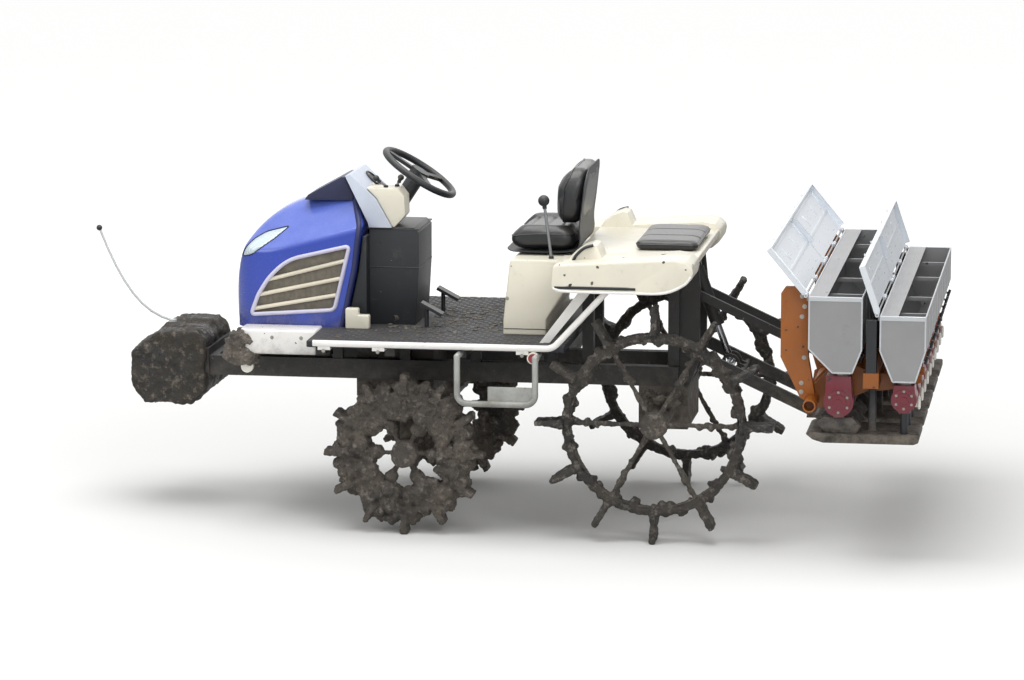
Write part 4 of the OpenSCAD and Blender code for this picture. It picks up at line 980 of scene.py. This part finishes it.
def seat_back():
    """A leaning back pad with raised sides and three sewn channels across its face."""
    half = ((BACK_Z[1] - BACK_Z[0]) / 2, BACK_HALF, 0.040)
    obj = rounded_slab("seat_back_pad", (half[0] - 0.004, half[1] - 0.004, half[2]), BACK_CORNER, 0.026)

    def face(table, z):
        return np.interp(z, [row[0] for row in table], [row[1] for row in table])

    def form(points, normals):
        z = points[:, 0] + (BACK_Z[0] + BACK_Z[1]) / 2
        front = face(BACK_FRONT, z)
        rear = face(BACK_REAR, z)
        share = points[:, 2] / half[2] * 0.5 + 0.5
        side = smooth_step((np.abs(points[:, 1]) - BOLSTER_Y + 0.02) / 0.05)
        lumbar = np.exp(-((z - 1.255) / 0.05) ** 2)
        dish = share * (0.014 * (1 - side) - 0.008 * lumbar * (1 - side))
        x = rear + (front - rear) * share - dish
        return np.stack([x + AXLE_X, points[:, 1], z], axis=1)

    def seams(points, normals):
        y = np.abs(points[:, 1])
        face_on = smooth_step((normals[:, 0] - 0.25) / 0.4)
        inner = smooth_step((BOLSTER_Y - y) / 0.006)
        for at in BACK_CHANNELS:
            points = groove(points, normals, points[:, 2] - at, SEAM_DEPTH, face_on * inner)
        return groove(points, normals, y - BOLSTER_Y, SEAM_DEPTH, face_on)

    reshaped(obj, form)
    reworked(obj, lambda bm: bmesh.ops.recalc_face_normals(bm, faces=bm.faces))
    puffed(obj, 0.0075, 4.0, 0.010)
    reshaped(obj, seams)
    stands_for(obj, "seat_back", "vinyl", 80.0)
    return obj


def rear_pad():
    """A thin flat pad on the rear deck, with two sewn lines along it. Its black is painted shade: a dark pad
    standing for the shadow cast on the deck by someone sitting there.
    """
    low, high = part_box("rear_pad")
    half = (high - low) / 2
    centre = (low + high) / 2
    obj = rounded_slab("rear_shade_pad_soft", (half.x - 0.006, half.y - 0.006, half.z - 0.003), 0.030, 0.014)
    reshaped(obj, lambda points, normals: points + np.array(centre))
    puffed(obj, 0.008, 3.0, 0.006)

    def seams(points, normals):
        top = smooth_step((normals[:, 2] - 0.3) / 0.4)
        for y in (-0.09, 0.09):
            points = groove(points, normals, points[:, 1] - y, 0.0045, top)
        points[:, 2] = np.maximum(points[:, 2], low.z)
        return points

    reshaped(obj, seams)
    stands_for(obj, "rear_pad", "vinyl", 80.0)
    return obj


def welt(name, pad_obj, path):
    """A piped edge laid on a pad's surface near a path."""
    bm = bmesh.new()
    spots = []
    for at in path:
        _, place, normal, _ = pad_obj.closest_point_on_mesh(at)
        spots.append(place + normal * 0.0008)
    tube(bm, spots, 0.0030, 8, closed=True)
    return new_piece(name, bm, "vinyl", "root", 60.0)


def plan_ring(half_x, half_y, radius):
    """Points along a rounded rectangle, evenly spread."""
    count = 96
    square = [(-half_x, -half_y), (half_x, -half_y), (half_x, half_y), (-half_x, half_y)]
    corners = rounded_outline(square, radius, 10)
    lengths = [0.0]
    ring = corners + corners[:1]
    for a, b in zip(ring, ring[1:]):
        lengths.append(lengths[-1] + math.dist(a, b))
    out = []
    for k in range(count):
        at = lengths[-1] * k / count
        out.append(tuple(np.interp(at, lengths, [p[i] for p in ring]) for i in (0, 1)))
    return out


def seat_welts(cushion, back, flat):
    """The piping of the three pads."""
    middle_x = (SEAT_X[0] + SEAT_X[1]) / 2
    ring = plan_ring((SEAT_X[1] - SEAT_X[0]) / 2, SEAT_HALF, SEAT_CORNER)
    path = [machine(middle_x + x, y, 1.178 - 0.012 * max(0.0, x / 0.14)) for x, y in ring]
    welt("seat_cushion_welt", cushion, path)
    ring = plan_ring((BACK_Z[1] - BACK_Z[0]) / 2, BACK_HALF, BACK_CORNER)
    middle_z = (BACK_Z[0] + BACK_Z[1]) / 2
    path = []
    for x, y in ring:
        z = middle_z + x
        path.append(machine(np.interp(z, (1.20, 1.36, 1.448), (0.432, 0.420, 0.388)), y, z))
    welt("seat_back_welt", back, path)
    low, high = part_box("rear_pad")
    centre = (low + high) / 2
    ring = plan_ring((high.x - low.x) / 2, (high.y - low.y) / 2, 0.030)
    # This piping goes round the black rear pad, which is painted shade.
    welt("rear_shade_pad_welt", flat, [Vector((centre.x + x, y, high.z - 0.012)) for x, y in ring])


SHELL_PROFILE = [(0.322, 1.440), (0.323, 1.432), (0.325, 1.420), (0.328, 1.400), (0.333, 1.370),
                 (0.342, 1.290), (0.352, 1.205), (0.350, 1.150), (0.362, 1.116), (0.400, 1.1035),
                 (0.470, 1.100), (0.560, 1.100), (0.625, 1.1015), (0.652, 1.110)]
SHELL_HALF = 0.222


def corner_inset(distance, radius):
    """How far a rounded corner draws in, at a distance from the end."""
    short = max(0.0, radius - distance)
    return radius - math.sqrt(radius ** 2 - short ** 2)


def seat_shell():
    """The moulded bucket behind and under the pads, on two runners."""
    bm = bmesh.new()
    line = curve_points([Vector((x, 0, z)) for x, z in SHELL_PROFILE], 5)
    reach = [0.0]
    for a, b in zip(line, line[1:]):
        reach.append(reach[-1] + (b - a).length)
    rows = []
    for i, at in enumerate(line):
        upper = corner_inset(reach[i], 0.095)
        half = SHELL_HALF - max(upper, corner_inset(reach[-1] - reach[i], 0.050))
        rows.append([bm.verts.new(machine(at.x, half * k / 8, at.z)) for k in range(-8, 9)])
    for first, second in zip(rows, rows[1:]):
        for k in range(16):
            bm.faces.new((first[k], first[k + 1], second[k + 1], second[k]))
    obj = modified(object_from_bmesh("seat_shell", bm), "SOLIDIFY", thickness=0.004, offset=0.0)
    dress(obj, "black_plastic", "root", 60.0)
    runners = bmesh.new()
    for y in (-0.135, 0.135):
        add_block(runners, machine(0.400, y - 0.015, 1.0864), machine(0.600, y + 0.015, 1.0985), 0.002)
    return dress(object_from_bmesh("seat_runners", runners), "frame_paint", "root", 30.0)


# Trim: everything here is small and sits on a CAD solid

DECK_Z = 0.780
RAIL_Y = 0.620
HOPPER_HALF = 0.950
ROW_PITCH = 0.190
ROWS = [side * ROW_PITCH * (i + 0.5) for side in (-1, 1) for i in range(5)]
METER_HALF = 0.055
FRONT_HOPPER = {"x": -0.634, "depth": 0.208, "rim": 1.055, "slope": 0.852, "floor": 0.760,
                "feet": (-0.728, -0.804)}
REAR_HOPPER = {"x": -0.908, "depth": 0.178, "rim": 0.985, "slope": 0.850, "floor": 0.730,
               "feet": (-0.960, -1.046)}
RIM_IN = 0.002
RIM_R = 0.0032
HINGE_OUT = 0.012
HINGE_UP = 0.003
LID_OPEN = {"front": 130.0, "rear": 109.0}
LID_LIP = 0.022
LID_END = 0.9562
PRESSED = 0.0024
FRONT_METER = (-0.750, 0.640)
FRONT_METER_R = 0.058
REAR_METER = (-1.002, 0.656)
REAR_METER_R = 0.050
DIAL_R = 0.021


def deck_ribs():
    """Short raised bars in staggered rows, for grip."""
    bm = bmesh.new()
    for i in range(23):
        x = 0.385 + i * 0.043
        for j in range(-19, 20):
            y = j * 0.031
            if x < 0.665 and abs(y) < 0.372:
                continue
            if x > 0.985 and abs(y) < 0.262:
                continue
            shift = 0.012 if j % 2 else -0.008
            if x + shift > 1.36:
                continue
            add_bar(bm, x + shift, y, DECK_Z)
    return dress(object_from_bmesh("deck_ribs", bm), "deck_mat", "root", 60.0)


BAR = {"length": 0.024, "width": 0.005, "height": 0.002}


def add_bar(bm, x, y, z):
    """One rounded bar lying along X."""
    base, top = [], []
    for ring, spread, level in ((base, 0.9, z - 0.001), (top, 0.6, z + BAR["height"])):
        for a in turns(10):
            end = x + BAR["length"] / 2 * (1 if math.cos(a) > 0 else -1)
            along = BAR["width"] * math.cos(a) * spread
            across = BAR["width"] * math.sin(a) * spread
            ring.append(bm.verts.new(machine(end + along, y + across, level)))
    bm.faces.new(top)
    for k in range(10):
        j = (k + 1) % 10
        bm.faces.new((base[k], base[j], top[j], top[k]))


def clods(name, spots):
    """Loose lumps of mud."""
    return dress(object_from(name, lump_mesh(name, spots)), "mud_clods", "root", 180.0)


def deck_mud():
    """Trodden mud on the deck, thickest at the pedals and along the pedestal's foot."""
    spots = []
    for _ in range(210):
        x = random.uniform(0.66, 1.17)
        y = random.uniform(-0.40, 0.40)
        if x > 1.0 and abs(y) < 0.17:
            continue
        size = random.uniform(0.004, 0.014) * (1.25 - abs(y))
        spots.append((machine(x, y, DECK_Z + size * 0.1), size, 0.34))
    for _ in range(90):
        x = random.uniform(0.42, 1.32)
        y = random.choice((-1, 1)) * random.uniform(0.40, 0.585)
        size = random.uniform(0.003, 0.010)
        spots.append((machine(x, y, DECK_Z + size * 0.1), size, 0.34))
    return clods("deck_mud", spots)


def frame_mud():
    """Mud packed on the axles."""
    spots = []
    front = ((1.07, 1.17), (0.20, 0.36), (0.50, 0.56))
    rear = ((-0.07, 0.07), (0.30, 0.52), (0.52, 0.56))
    for side in (-1, 1):
        for x, y, z in (front, rear):
            for _ in range(34):
                at = machine(random.uniform(*x), side * random.uniform(*y), random.uniform(*z))
                spots.append((at, random.uniform(0.012, 0.026), 0.7))
    return clods("frame_mud", spots)


def corner_mud():
    """A mass of mud stuck on each skirt's nose and the frame behind the ballast."""
    spread = 0.062
    for side, word in ((1, "left"), (-1, "right")):
        spots = []
        for _ in range(80):
            a = random.uniform(0, 2 * math.pi)
            r = math.sqrt(random.random())
            y = side * random.uniform(0.325, 0.412)
            at = machine(1.715 + spread * r * math.cos(a), y, 0.706 + spread * r * math.sin(a))
            spots.append((at, random.uniform(0.014, 0.028), 1.0))
        obj = object_from("corner_mud_" + word, lump_mesh("corner_mud_" + word, spots))
        remeshed(obj, 0.0055)
        swell(obj, 0.006, 0.006)
        dress(obj, "mud_clods", "root", 80.0)


BOLTS = (
    ("root", 0.005, [(x, RAIL_Y + 0.0135, 0.744) for x in (0.525, 1.105, 1.325)]),
    ("root", 0.005, [(0.627, 0.350, 0.928), (1.46, 0.410, 0.755), (1.58, 0.410, 0.755)]),
    ("root", 0.007, [(x, 0.160, 0.600) for x in (0.20, 0.50, 0.86, 1.30, 1.60)]),
    ("seeder", 0.006, [(-0.600, 0.836, z) for z in (0.665, 0.700, 0.960, 1.040)]),
    ("seeder", 0.006, [(-0.610, 0.836, z) for z in (0.800, 1.000)]),
)


def all_bolts():
    """Bolts on the rails, the pedestal, the skirts, the frame and the orange side plates."""
    groups = {}
    for side in (-1, 1):
        for body, radius, places in BOLTS:
            spots = groups.setdefault((body, radius), [])
            spots += [(machine(x, side * y, z), (0, side, 0)) for x, y, z in places]
    for (body, radius), spots in groups.items():
        bolts("bolts_" + body + "_" + str(int(radius * 1000)), spots, radius, body)


def sheet_strip(bm, a, b, width, thick, side):
    """A thin flat strip on a face that looks along Y."""
    a, b = Vector(a), Vector(b)
    along = (b - a).normalized()
    across = Vector((0, 1, 0)).cross(along) * (width / 2)
    out = Vector((0, side * thick, 0))
    corners = [a - across, a + across, b + across, b - across]
    low = [bm.verts.new(c) for c in corners]
    high = [bm.verts.new(c + out) for c in corners]
    bm.faces.new(high)
    for i in range(4):
        j = (i + 1) % 4
        bm.faces.new((low[i], low[j], high[j], high[i]))


def hopper_outline(h, front, rear):
    """A hopper's end from its front rim round its floor to its rear rim, drawn a little inside its edge."""
    slope = h["slope"] + 0.001
    floor = h["floor"] + 0.003
    return [(front, h["rim"]), (front, slope), (h["feet"][0], floor), (h["feet"][1], floor), (rear, slope),
            (rear, h["rim"])]


def hopper_hems():
    """Folded edges round the end faces, a band under the rim and rolled rims."""
    bm = bmesh.new()
    for h in (FRONT_HOPPER, REAR_HOPPER):
        rear = h["x"] - h["depth"]
        front_hem = h["x"] - 0.003
        rear_hem = rear + 0.003
        inset = hopper_outline(h, front_hem, rear_hem)
        band = h["rim"] - 0.008
        for side in (-1, 1):
            y = side * HOPPER_HALF
            for (ax, az), (bx, bz) in zip(inset, inset[1:]):
                sheet_strip(bm, machine(ax, y, az), machine(bx, y, bz), 0.006, 0.0018, side)
            sheet_strip(bm, machine(front_hem, y, band), machine(rear_hem, y, band), 0.013, 0.0022, side)
        front_rim, rear_rim = h["x"] - RIM_IN, rear + RIM_IN
        for x in (front_rim, rear_rim):
            tube(bm, [machine(x, -HOPPER_HALF, h["rim"]), machine(x, HOPPER_HALF, h["rim"])], RIM_R, 8)
        for side in (-1, 1):
            y = side * (HOPPER_HALF - RIM_IN)
            tube(bm, [machine(front_rim, y, h["rim"]), machine(rear_rim, y, h["rim"])], RIM_R, 8)
        x = rear - 0.0005
        for y in [i * ROW_PITCH for i in range(-4, 5)]:
            tube(bm, [machine(x, y, h["rim"] - 0.02), machine(x, y, h["slope"])], 0.0022, 6)
    return new_piece("hopper_hems", bm, "hem_steel", "seeder", 40.0)


def shutter_handles():
    """A small black handle for each row's shutter, on the back slope of each hopper."""
    bm = bmesh.new()
    for h in (REAR_HOPPER, FRONT_HOPPER):
        rear = h["x"] - h["depth"]
        foot = h["feet"][1]
        slope = Vector((foot - rear, 0, h["floor"] - h["slope"])).normalized()
        out = Vector((slope.z, 0, -slope.x))
        if out.x > 0:
            out = -out
        at = Vector((rear, 0, h["slope"])) + slope * 0.045
        for y in ROWS:
            if abs(abs(y) - 0.285) < 0.03 and h is FRONT_HOPPER:
                continue
            base = machine(at.x, y, at.z)
            tip = base + out * 0.012
            tube(bm, [base - out * 0.002, tip], 0.0045, 8)
            tube(bm, [tip - slope * 0.016, tip + slope * 0.016], 0.006, 10)
    return new_piece("shutter_handles", bm, "black_plastic", "seeder", 60.0)


def lid_place(h, side, opened):
    """Where a lid's own axes lie: X back to front, Y out from the middle, Z up when it is closed."""
    hinge = machine(h["x"] + HINGE_OUT, 0, h["rim"] + HINGE_UP)
    turn = Matrix.Rotation(math.radians(opened), 4, "Y")
    return Matrix.Translation(hinge) @ turn @ Matrix.Diagonal((1, side, 1, 1))


def lid_trim():
    """Pressed panels and pull tabs on the lids."""
    for word, h in (("front", FRONT_HOPPER), ("rear", REAR_HOPPER)):
        far = -HINGE_OUT - h["depth"] - 0.009
        for side, side_word in ((1, "left"), (-1, "right")):
            bm = bmesh.new()
            x0, x1, y0, y1 = far + 0.016, -0.098, 0.030, 0.930
            rim = 0.013
            borders = ((x0, x0 + rim, y0, y1), (x1 - rim, x1, y0, y1), (x0, x1, y0, y0 + rim),
                       (x0, x1, y1 - rim, y1))
            for ax, bx, ay, by in borders:
                add_block(bm, (ax, ay, -0.0008), (bx, by, PRESSED), 0.0009)
            for y in (0.30, 0.64):
                add_block(bm, (x0 + 0.03, y, 0.0002), (x1 - 0.03, y + 0.015, PRESSED), 0.0009)
            add_block(bm, (far + 0.022, 0.040, 0.0044), (-0.030, 0.920, 0.0074), 0.0009)
            edge = 0.005 - LID_LIP
            corners = [(far + 0.0015, 0.006), (far + 0.0015, LID_END), (-0.014, LID_END)]
            tube(bm, [Vector((x, y, edge)) for x, y in corners], 0.0026, 8)
            for y in (0.30, 0.66):
                add_block(bm, (far - 0.009, y - 0.016, 0.0005), (far + 0.002, y + 0.016, 0.0035), 0.001)
            bmesh.ops.transform(bm, matrix=lid_place(h, side, LID_OPEN[word]), verts=bm.verts)
            lid = word + "_lid_" + side_word
            new_piece("lid_panel_" + word + "_" + side_word, bm, "lid_steel", lid, 35.0)


def meter_trim():
    """Bolted end caps on the meters, with a dial on each rear one."""
    caps = bmesh.new()
    dials = bmesh.new()
    screws = bmesh.new()
    for (x, z), r in ((FRONT_METER, FRONT_METER_R), (REAR_METER, REAR_METER_R)):
        for row in ROWS:
            for side in (-1, 1):
                face = row + side * METER_HALF
                for radius, depth in ((r * 0.80, 0.004), (r * 0.52, 0.008), (0.013, 0.013)):
                    ends = [machine(x, face - side * 0.002, z), machine(x, face + side * depth, z)]
                    tube(caps, ends, radius, 28)
                for k in range(6):
                    a = math.radians(60 * k + 30)
                    across, up = math.cos(a) * r * 0.68, math.sin(a) * r * 0.68
                    spot = machine(x + across, face + side * 0.004, z + up)
                    add_bolt(screws, spot, (0, side, 0), 0.0034)
    x, z = REAR_METER[0] - REAR_METER_R + 0.004, REAR_METER[1] - 0.018
    for row in ROWS:
        ring = [machine(x - 0.010, row + DIAL_R * math.cos(a), z + DIAL_R * math.sin(a)) for a in turns(24)]
        tube(dials, ring, 0.0055, 8, closed=True)
        tube(dials, [machine(x + 0.006, row, z), machine(x - 0.010, row, z)], 0.009, 14)
        tube(dials, [machine(x + 0.006, row, z), machine(x - 0.004, row, z)], 0.018, 24)
    new_piece("meter_caps", caps, "meter_red", "seeder", 40.0)
    new_piece("meter_dials", dials, "outlet_white", "seeder", 40.0)
    new_piece("meter_screws", screws, "bolt_zinc", "seeder", 30.0)


COVER_X = (1.0195, 1.2252)
COVER_Y = 0.1605
COVER_SEAMS = (1.015, 1.172)
PEDESTAL_Y = 0.3505
FENDER_Y = 0.6655
GRIP = [(0.335, 0.566, 1.106), (0.318, 0.572, 1.140), (0.286, 0.570, 1.170), (0.250, 0.564, 1.182)]
FENDER_LIP = [(0.398, 0.6655, 1.022), (0.340, 0.6665, 1.011), (0.10, 0.6665, 1.009), (-0.04, 0.6660, 1.012),
              (-0.120, 0.6655, 1.045), (-0.149, 0.6650, 1.080)]


def sided_curve(points, side, steps):
    """A smooth line through points drawn for the left side, on either side."""
    return [machine(*p) for p in curve_points([Vector((x, side * y, z)) for x, y, z in points], steps)]


def cab_seams():
    """Seams on the column cover and the pedestal, strips on the fenders and a handle on each."""
    seams = bmesh.new()
    x0, x1 = COVER_X
    for z in COVER_SEAMS:
        plan = ((x0, -COVER_Y), (x1, -COVER_Y), (x1, COVER_Y), (x0, COVER_Y))
        tube(seams, [machine(x, y, z) for x, y in plan], 0.0022, 6, closed=True)
    for side in (-1, 1):
        y = side * PEDESTAL_Y
        tube(seams, [machine(0.352, y, 0.805), machine(0.640, y, 0.805)], 0.0018, 6)
        y = side * FENDER_Y
        add_block(seams, machine(0.070, y - 0.0016, 1.0195), machine(0.392, y + 0.0016, 1.0300), 0.001)
        tube(seams, sided_curve(GRIP, side, 6), 0.0065, 10)
    new_piece("dark_seams", seams, "black_plastic", "root", 60.0)


def fender_beads():
    """A rounded bead along each fender's lower edge."""
    beads = bmesh.new()
    for side in (-1, 1):
        tube(beads, sided_curve(FENDER_LIP, side, 8), 0.0055, 10)
    new_piece("fender_beads", beads, "white_tube", "root", 60.0)


GAUGE_NORMAL = Vector((-0.685, 0, 0.728))


def gauge():
    """A round gauge on the panel's slope, with its marks and pointer, and three small knobs."""
    centre = machine(1.248, -0.070, 1.3455) + GAUGE_NORMAL * 0.001
    place = Matrix.Translation(centre) @ frame_along(GAUGE_NORMAL)

    def spot(radius, angle, height):
        return place @ Vector((radius * math.cos(angle), radius * math.sin(angle), height))

    bezel = bmesh.new()
    tube(bezel, [spot(0.040, a, 0.003) for a in turns(32)], 0.0045, 8, closed=True)
    tube(bezel, [spot(0, 0, -0.002), spot(0, 0, 0.002)], 0.039, 32)
    new_piece("gauge", bezel, "black_plastic", "root", 40.0)
    marks = bmesh.new()
    for k in range(11):
        a = math.radians(-30 + 24 * k)
        tube(marks, [spot(r, a, 0.0024) for r in (0.027, 0.033)], 0.0009, 5)
    tube(marks, [spot(0, 0, 0.0034), place @ Vector((-0.020, 0.014, 0.0034))], 0.0012, 5)
    for y in (-0.130, -0.005, 0.012):
        foot = machine(1.236, y, 1.334) + GAUGE_NORMAL * 0.001
        tube(marks, [foot, foot + GAUGE_NORMAL * 0.003], 0.006, 14)
    new_piece("gauge_marks", marks, "ivory", "root", 40.0)


LEVERS = [((1.160, 0.128, 1.339), (1.196, 0.150, 1.378), 0.005, 0.013),
          ((1.120, 0.092, 1.339), (1.104, 0.092, 1.376), 0.005, 0.013),
          ((0.455, 0.300, 1.086), (0.486, 0.300, 1.320), 0.006, 0.023)]
BOOT_FOLDS = ((0.0, 0.35, 0.005), (0.35, 0.5, 0.005), (0.5, 0.8, 0.0036), (0.8, 1.0, 0.0036))


def add_ball(bm, at, radius, segments):
    place = Matrix.Translation(at)
    bmesh.ops.create_uvsphere(bm, u_segments=segments, v_segments=14, radius=radius, matrix=place)


def lever_arms():
    """Plated arms with black knobs and ribbed boots."""
    arms = bmesh.new()
    knobs = bmesh.new()
    for foot, tip, r, ball in LEVERS:
        a, b = machine(*foot), machine(*tip)
        tube(arms, [a + Vector((0, 0, r)), b], r, 14)
        add_ball(knobs, b, ball, 22)
        along = (b - a).normalized()
        tube(knobs, [b - along * (ball + 0.010), b - along * (ball - 0.004)], r + 0.003, 14)
        height = Vector((0, 0, r + 0.004))
        for low, high, wide in BOOT_FOLDS:
            tube(knobs, [a + low * height, a + high * height], r + wide, 20)
    stands_for(object_from_bmesh("lever_arms", arms, outward=True), "hand_levers", "shaft_steel", 60.0)
    new_piece("lever_knobs", knobs, "black_plastic", "root", 50.0)


def guide_knob():
    """The dark ball on the guide rod's tip."""
    bm = bmesh.new()
    add_ball(bm, machine(2.392, 0, 1.130), 0.0123, 24)
    return dress(object_from_bmesh("guide_knob", bm), "black_plastic", "root", 60.0)


def reflectors():
    """Round reflectors: a red one at the rear bend of each side rail, pale ones on the front stalks."""
    red = bmesh.new()
    shells = bmesh.new()
    for side in (-1, 1):
        for bm, low, high, radius in ((shells, -0.006, 0.014, 0.024), (red, 0.010, 0.017, 0.019)):
            ends = [machine(0.480, side * (RAIL_Y + 0.006 + out), 0.735) for out in (low, high)]
            tube(bm, ends, radius, 24)
        y = side * 0.402
        r = 0.0225
        ring = [machine(1.686 + r * math.cos(a), y, 0.632 + r * math.sin(a)) for a in turns(28)]
        tube(shells, ring, 0.0026, 8, closed=True)
    new_piece("rear_reflectors", red, "reflector", "root", 40.0)
    new_piece("reflector_shells", shells, "ivory", "root", 40.0)


def round_axle(axle, radius, angle, y):
    """A point at a radius and an angle from an axle."""
    return Vector((axle.x + radius * math.cos(angle), y, axle.z + radius * math.sin(angle)))


def ring_lumps(axle, side, ring, spread, y, half, size, count):
    """Places for mud round a wheel's ring, close enough to hold on to it."""
    out = []
    for _ in range(count):
        a = random.uniform(0, 2 * math.pi)
        radius = random.uniform(*size)
        r = ring + random.uniform(-spread[0], spread[1])
        across = side * (y + random.uniform(-half, half))
        out.append((round_axle(axle, r, a, across), radius, 1.0))
    return out


def spoke_lumps(axle, side, reach, y, size, count):
    """Places for mud along a wheel's six spokes."""
    out = []
    for _ in range(count):
        spoke = math.radians(60 * random.randrange(6))
        r = random.uniform(*reach)
        across = side * (y + random.uniform(-0.008, 0.008))
        off = Vector((random.uniform(-1, 1), 0, random.uniform(-1, 1))) * 0.009
        out.append((round_axle(axle, r, spoke, across) + off, random.uniform(*size), 1.0))
    return out


# Build

CLOSE_LOOKS = {
    "frame": "frame_paint", "hitch_tower": "frame_paint", "lower_link": "frame_paint",
    "top_link": "frame_paint", "lift_cylinder": "frame_paint", "engine": "engine",
    "front_axle": "cast_case", "rear_axle": "cast_case", "knuckle_left": "cast_case",
    "knuckle_right": "cast_case", "pitman_arm": "cast_case", "guide_rod": "guide_white",
}


def dress_frame():
    """Every CAD node gets its slot's finish; pieces that replace it come later."""
    for name, obj in nodes.items():
        look = LOOK[CLOSE_LOOKS.get(name, slot_of_node[name])]
        if not obj.material_slots:
            obj.data.materials.append(look)
        for place in obj.material_slots:
            place.material = look


SOFT_EDGES = {
    "seat_pedestal": 0.022, "rear_deck": 0.006, "hood_cowl": 0.016, "column_cover": 0.012,
    "instrument_panel": 0.010, "lever_console": 0.010, "front_skirts": 0.008, "deck_floor": 0.006,
    "engine": 0.012, "openers": 0.004, "floats": 0.006, "meters": 0.003, "side_posts": 0.003,
    "foot_blocks": 0.006,
}
SOFT_LOOKS = {"front_skirts": "skirt_panel", "openers": "float_plastic", "floats": "float_plastic"}


def wheels():
    """The wheels and the ballast under their mud. The mud on the tyres ends just above the ground."""
    rear_inside = (REAR_AXLE, REAR_AXLE.z - 0.0005)
    front_inside = (FRONT_AXLE, FRONT_AXLE.z - 0.0005)
    for word, side in (("left", 1), ("right", -1)):
        rear_lumps = ring_lumps(REAR_AXLE, side, 0.345, (0.020, 0.020), 0.600, 0.016, (0.010, 0.022), 120)
        front_lumps = ring_lumps(FRONT_AXLE, side, 0.225, (0.075, 0.050), 0.560, 0.018, (0.016, 0.032), 420)
        rear_spokes = spoke_lumps(REAR_AXLE, side, (0.16, 0.33), 0.600, (0.009, 0.015), 50)
        front_spokes = spoke_lumps(FRONT_AXLE, side, (0.10, 0.20), 0.560, (0.016, 0.028), 90)
        caked("rear_tyre_" + word, 0.0065, 0.006, 0.005, "tyre", rear_inside, rear_lumps)
        caked("front_tyre_" + word, 0.0055, 0.008, 0.006, "front_tyre", front_inside, front_lumps)
        caked("rear_rim_" + word, 0.006, 0.005, 0.003, "rim_steel", lumps=rear_spokes)
        caked("front_rim_" + word, 0.006, 0.007, 0.004, "front_tyre", lumps=front_spokes)
    caked("front_weights", 0.008, 0.012, 0.005, "weight_iron")


LAMPS = (
    ("top", (0.3, 0.8, 6.5), 5.0, 335.0), ("key", (-3.0, 7.0, 4.5), 4.0, 185.0),
    ("fill", (5.5, 4.5, 3.5), 4.0, 95.0), ("back", (0.5, -6.5, 5.0), 7.0, 70.0),
)
LAMPS_AIM = Vector((0, 0, 0.6))


def turned_to(at, aim):
    return (aim - at).to_track_quat("-Z", "Y").to_euler()


def studio():
    """A white world and a pale floor that fades out, under four soft lamps."""
    scene = bpy.context.scene
    scene.view_settings.view_transform = "Standard"
    world = bpy.data.worlds.new("studio")
    scene.world = world
    world.use_nodes = True
    tree = world.node_tree
    background = tree.nodes["Background"]
    background.inputs["Color"].default_value = (1, 1, 1, 1)
    paths = add_node(tree, "ShaderNodeLightPath")
    seen = maths(tree, "MAXIMUM", paths.outputs["Is Camera Ray"], paths.outputs["Is Glossy Ray"])
    seen = maths(tree, "MAXIMUM", seen, paths.outputs["Is Transmission Ray"])
    tree.links.new(remap(tree, seen, 0.0, 1.0, 0.46, 1.0), background.inputs["Strength"])
    bm = bmesh.new()
    bmesh.ops.create_grid(bm, x_segments=1, y_segments=1, size=30.0)
    floor = object_from_bmesh("floor", bm)
    material, tree, shader, place = new_material("floor")
    shader.inputs["Base Color"].default_value = (0.74, 0.74, 0.73, 1)
    shader.inputs["Roughness"].default_value = 0.9
    shader.inputs["Emission Color"].default_value = (1, 1, 1, 1)
    distance = add_node(tree, "ShaderNodeVectorMath", {0: place}, operation="LENGTH").outputs[1]
    seen = add_node(tree, "ShaderNodeLightPath").outputs["Is Camera Ray"]
    glow = maths(tree, "MULTIPLY", remap(tree, distance, 1.2, 7.0, 0.0, 0.6), seen)
    tree.links.new(glow, shader.inputs["Emission Strength"])
    floor.data.materials.append(material)
    for name, at, size, power in LAMPS:
        lamp = bpy.data.lights.new(name, "AREA")
        lamp.size = size
        lamp.energy = power
        obj = bpy.data.objects.new(name, lamp)
        scene.collection.objects.link(obj)
        obj.location = at
        obj.rotation_euler = turned_to(Vector(at), LAMPS_AIM)


CAMERA_AT = machine(-1.954, 17.324, 3.610)
CAMERA_AIM = machine(0.66, 0.0, 0.70)
CAMERA_LENS = 152.0


def camera():
    data = bpy.data.cameras.new("camera")
    data.lens = CAMERA_LENS
    data.sensor_width = 36.0
    data.clip_end = 100.0
    obj = bpy.data.objects.new("camera", data)
    bpy.context.scene.collection.objects.link(obj)
    obj.location = CAMERA_AT
    obj.rotation_euler = turned_to(CAMERA_AT, CAMERA_AIM)
    bpy.context.scene.camera = obj


camera()
studio()
dress_frame()
hood_shell()
hood_seal()
grilles()
headlamps()
for soft_node, soft_width in SOFT_EDGES.items():
    softened(soft_node, soft_width, look=SOFT_LOOKS.get(soft_node))
softened("rear_fenders", 0.008, 2, angle=40.0, change=round_shoulders)
wheels()
seat_welts(seat_cushion(), seat_back(), rear_pad())
seat_shell()
lever_arms()
deck_ribs()
deck_mud()
frame_mud()
corner_mud()
all_bolts()
hopper_hems()
shutter_handles()
lid_trim()
meter_trim()
cab_seams()
fender_beads()
gauge()
guide_knob()
reflectors()
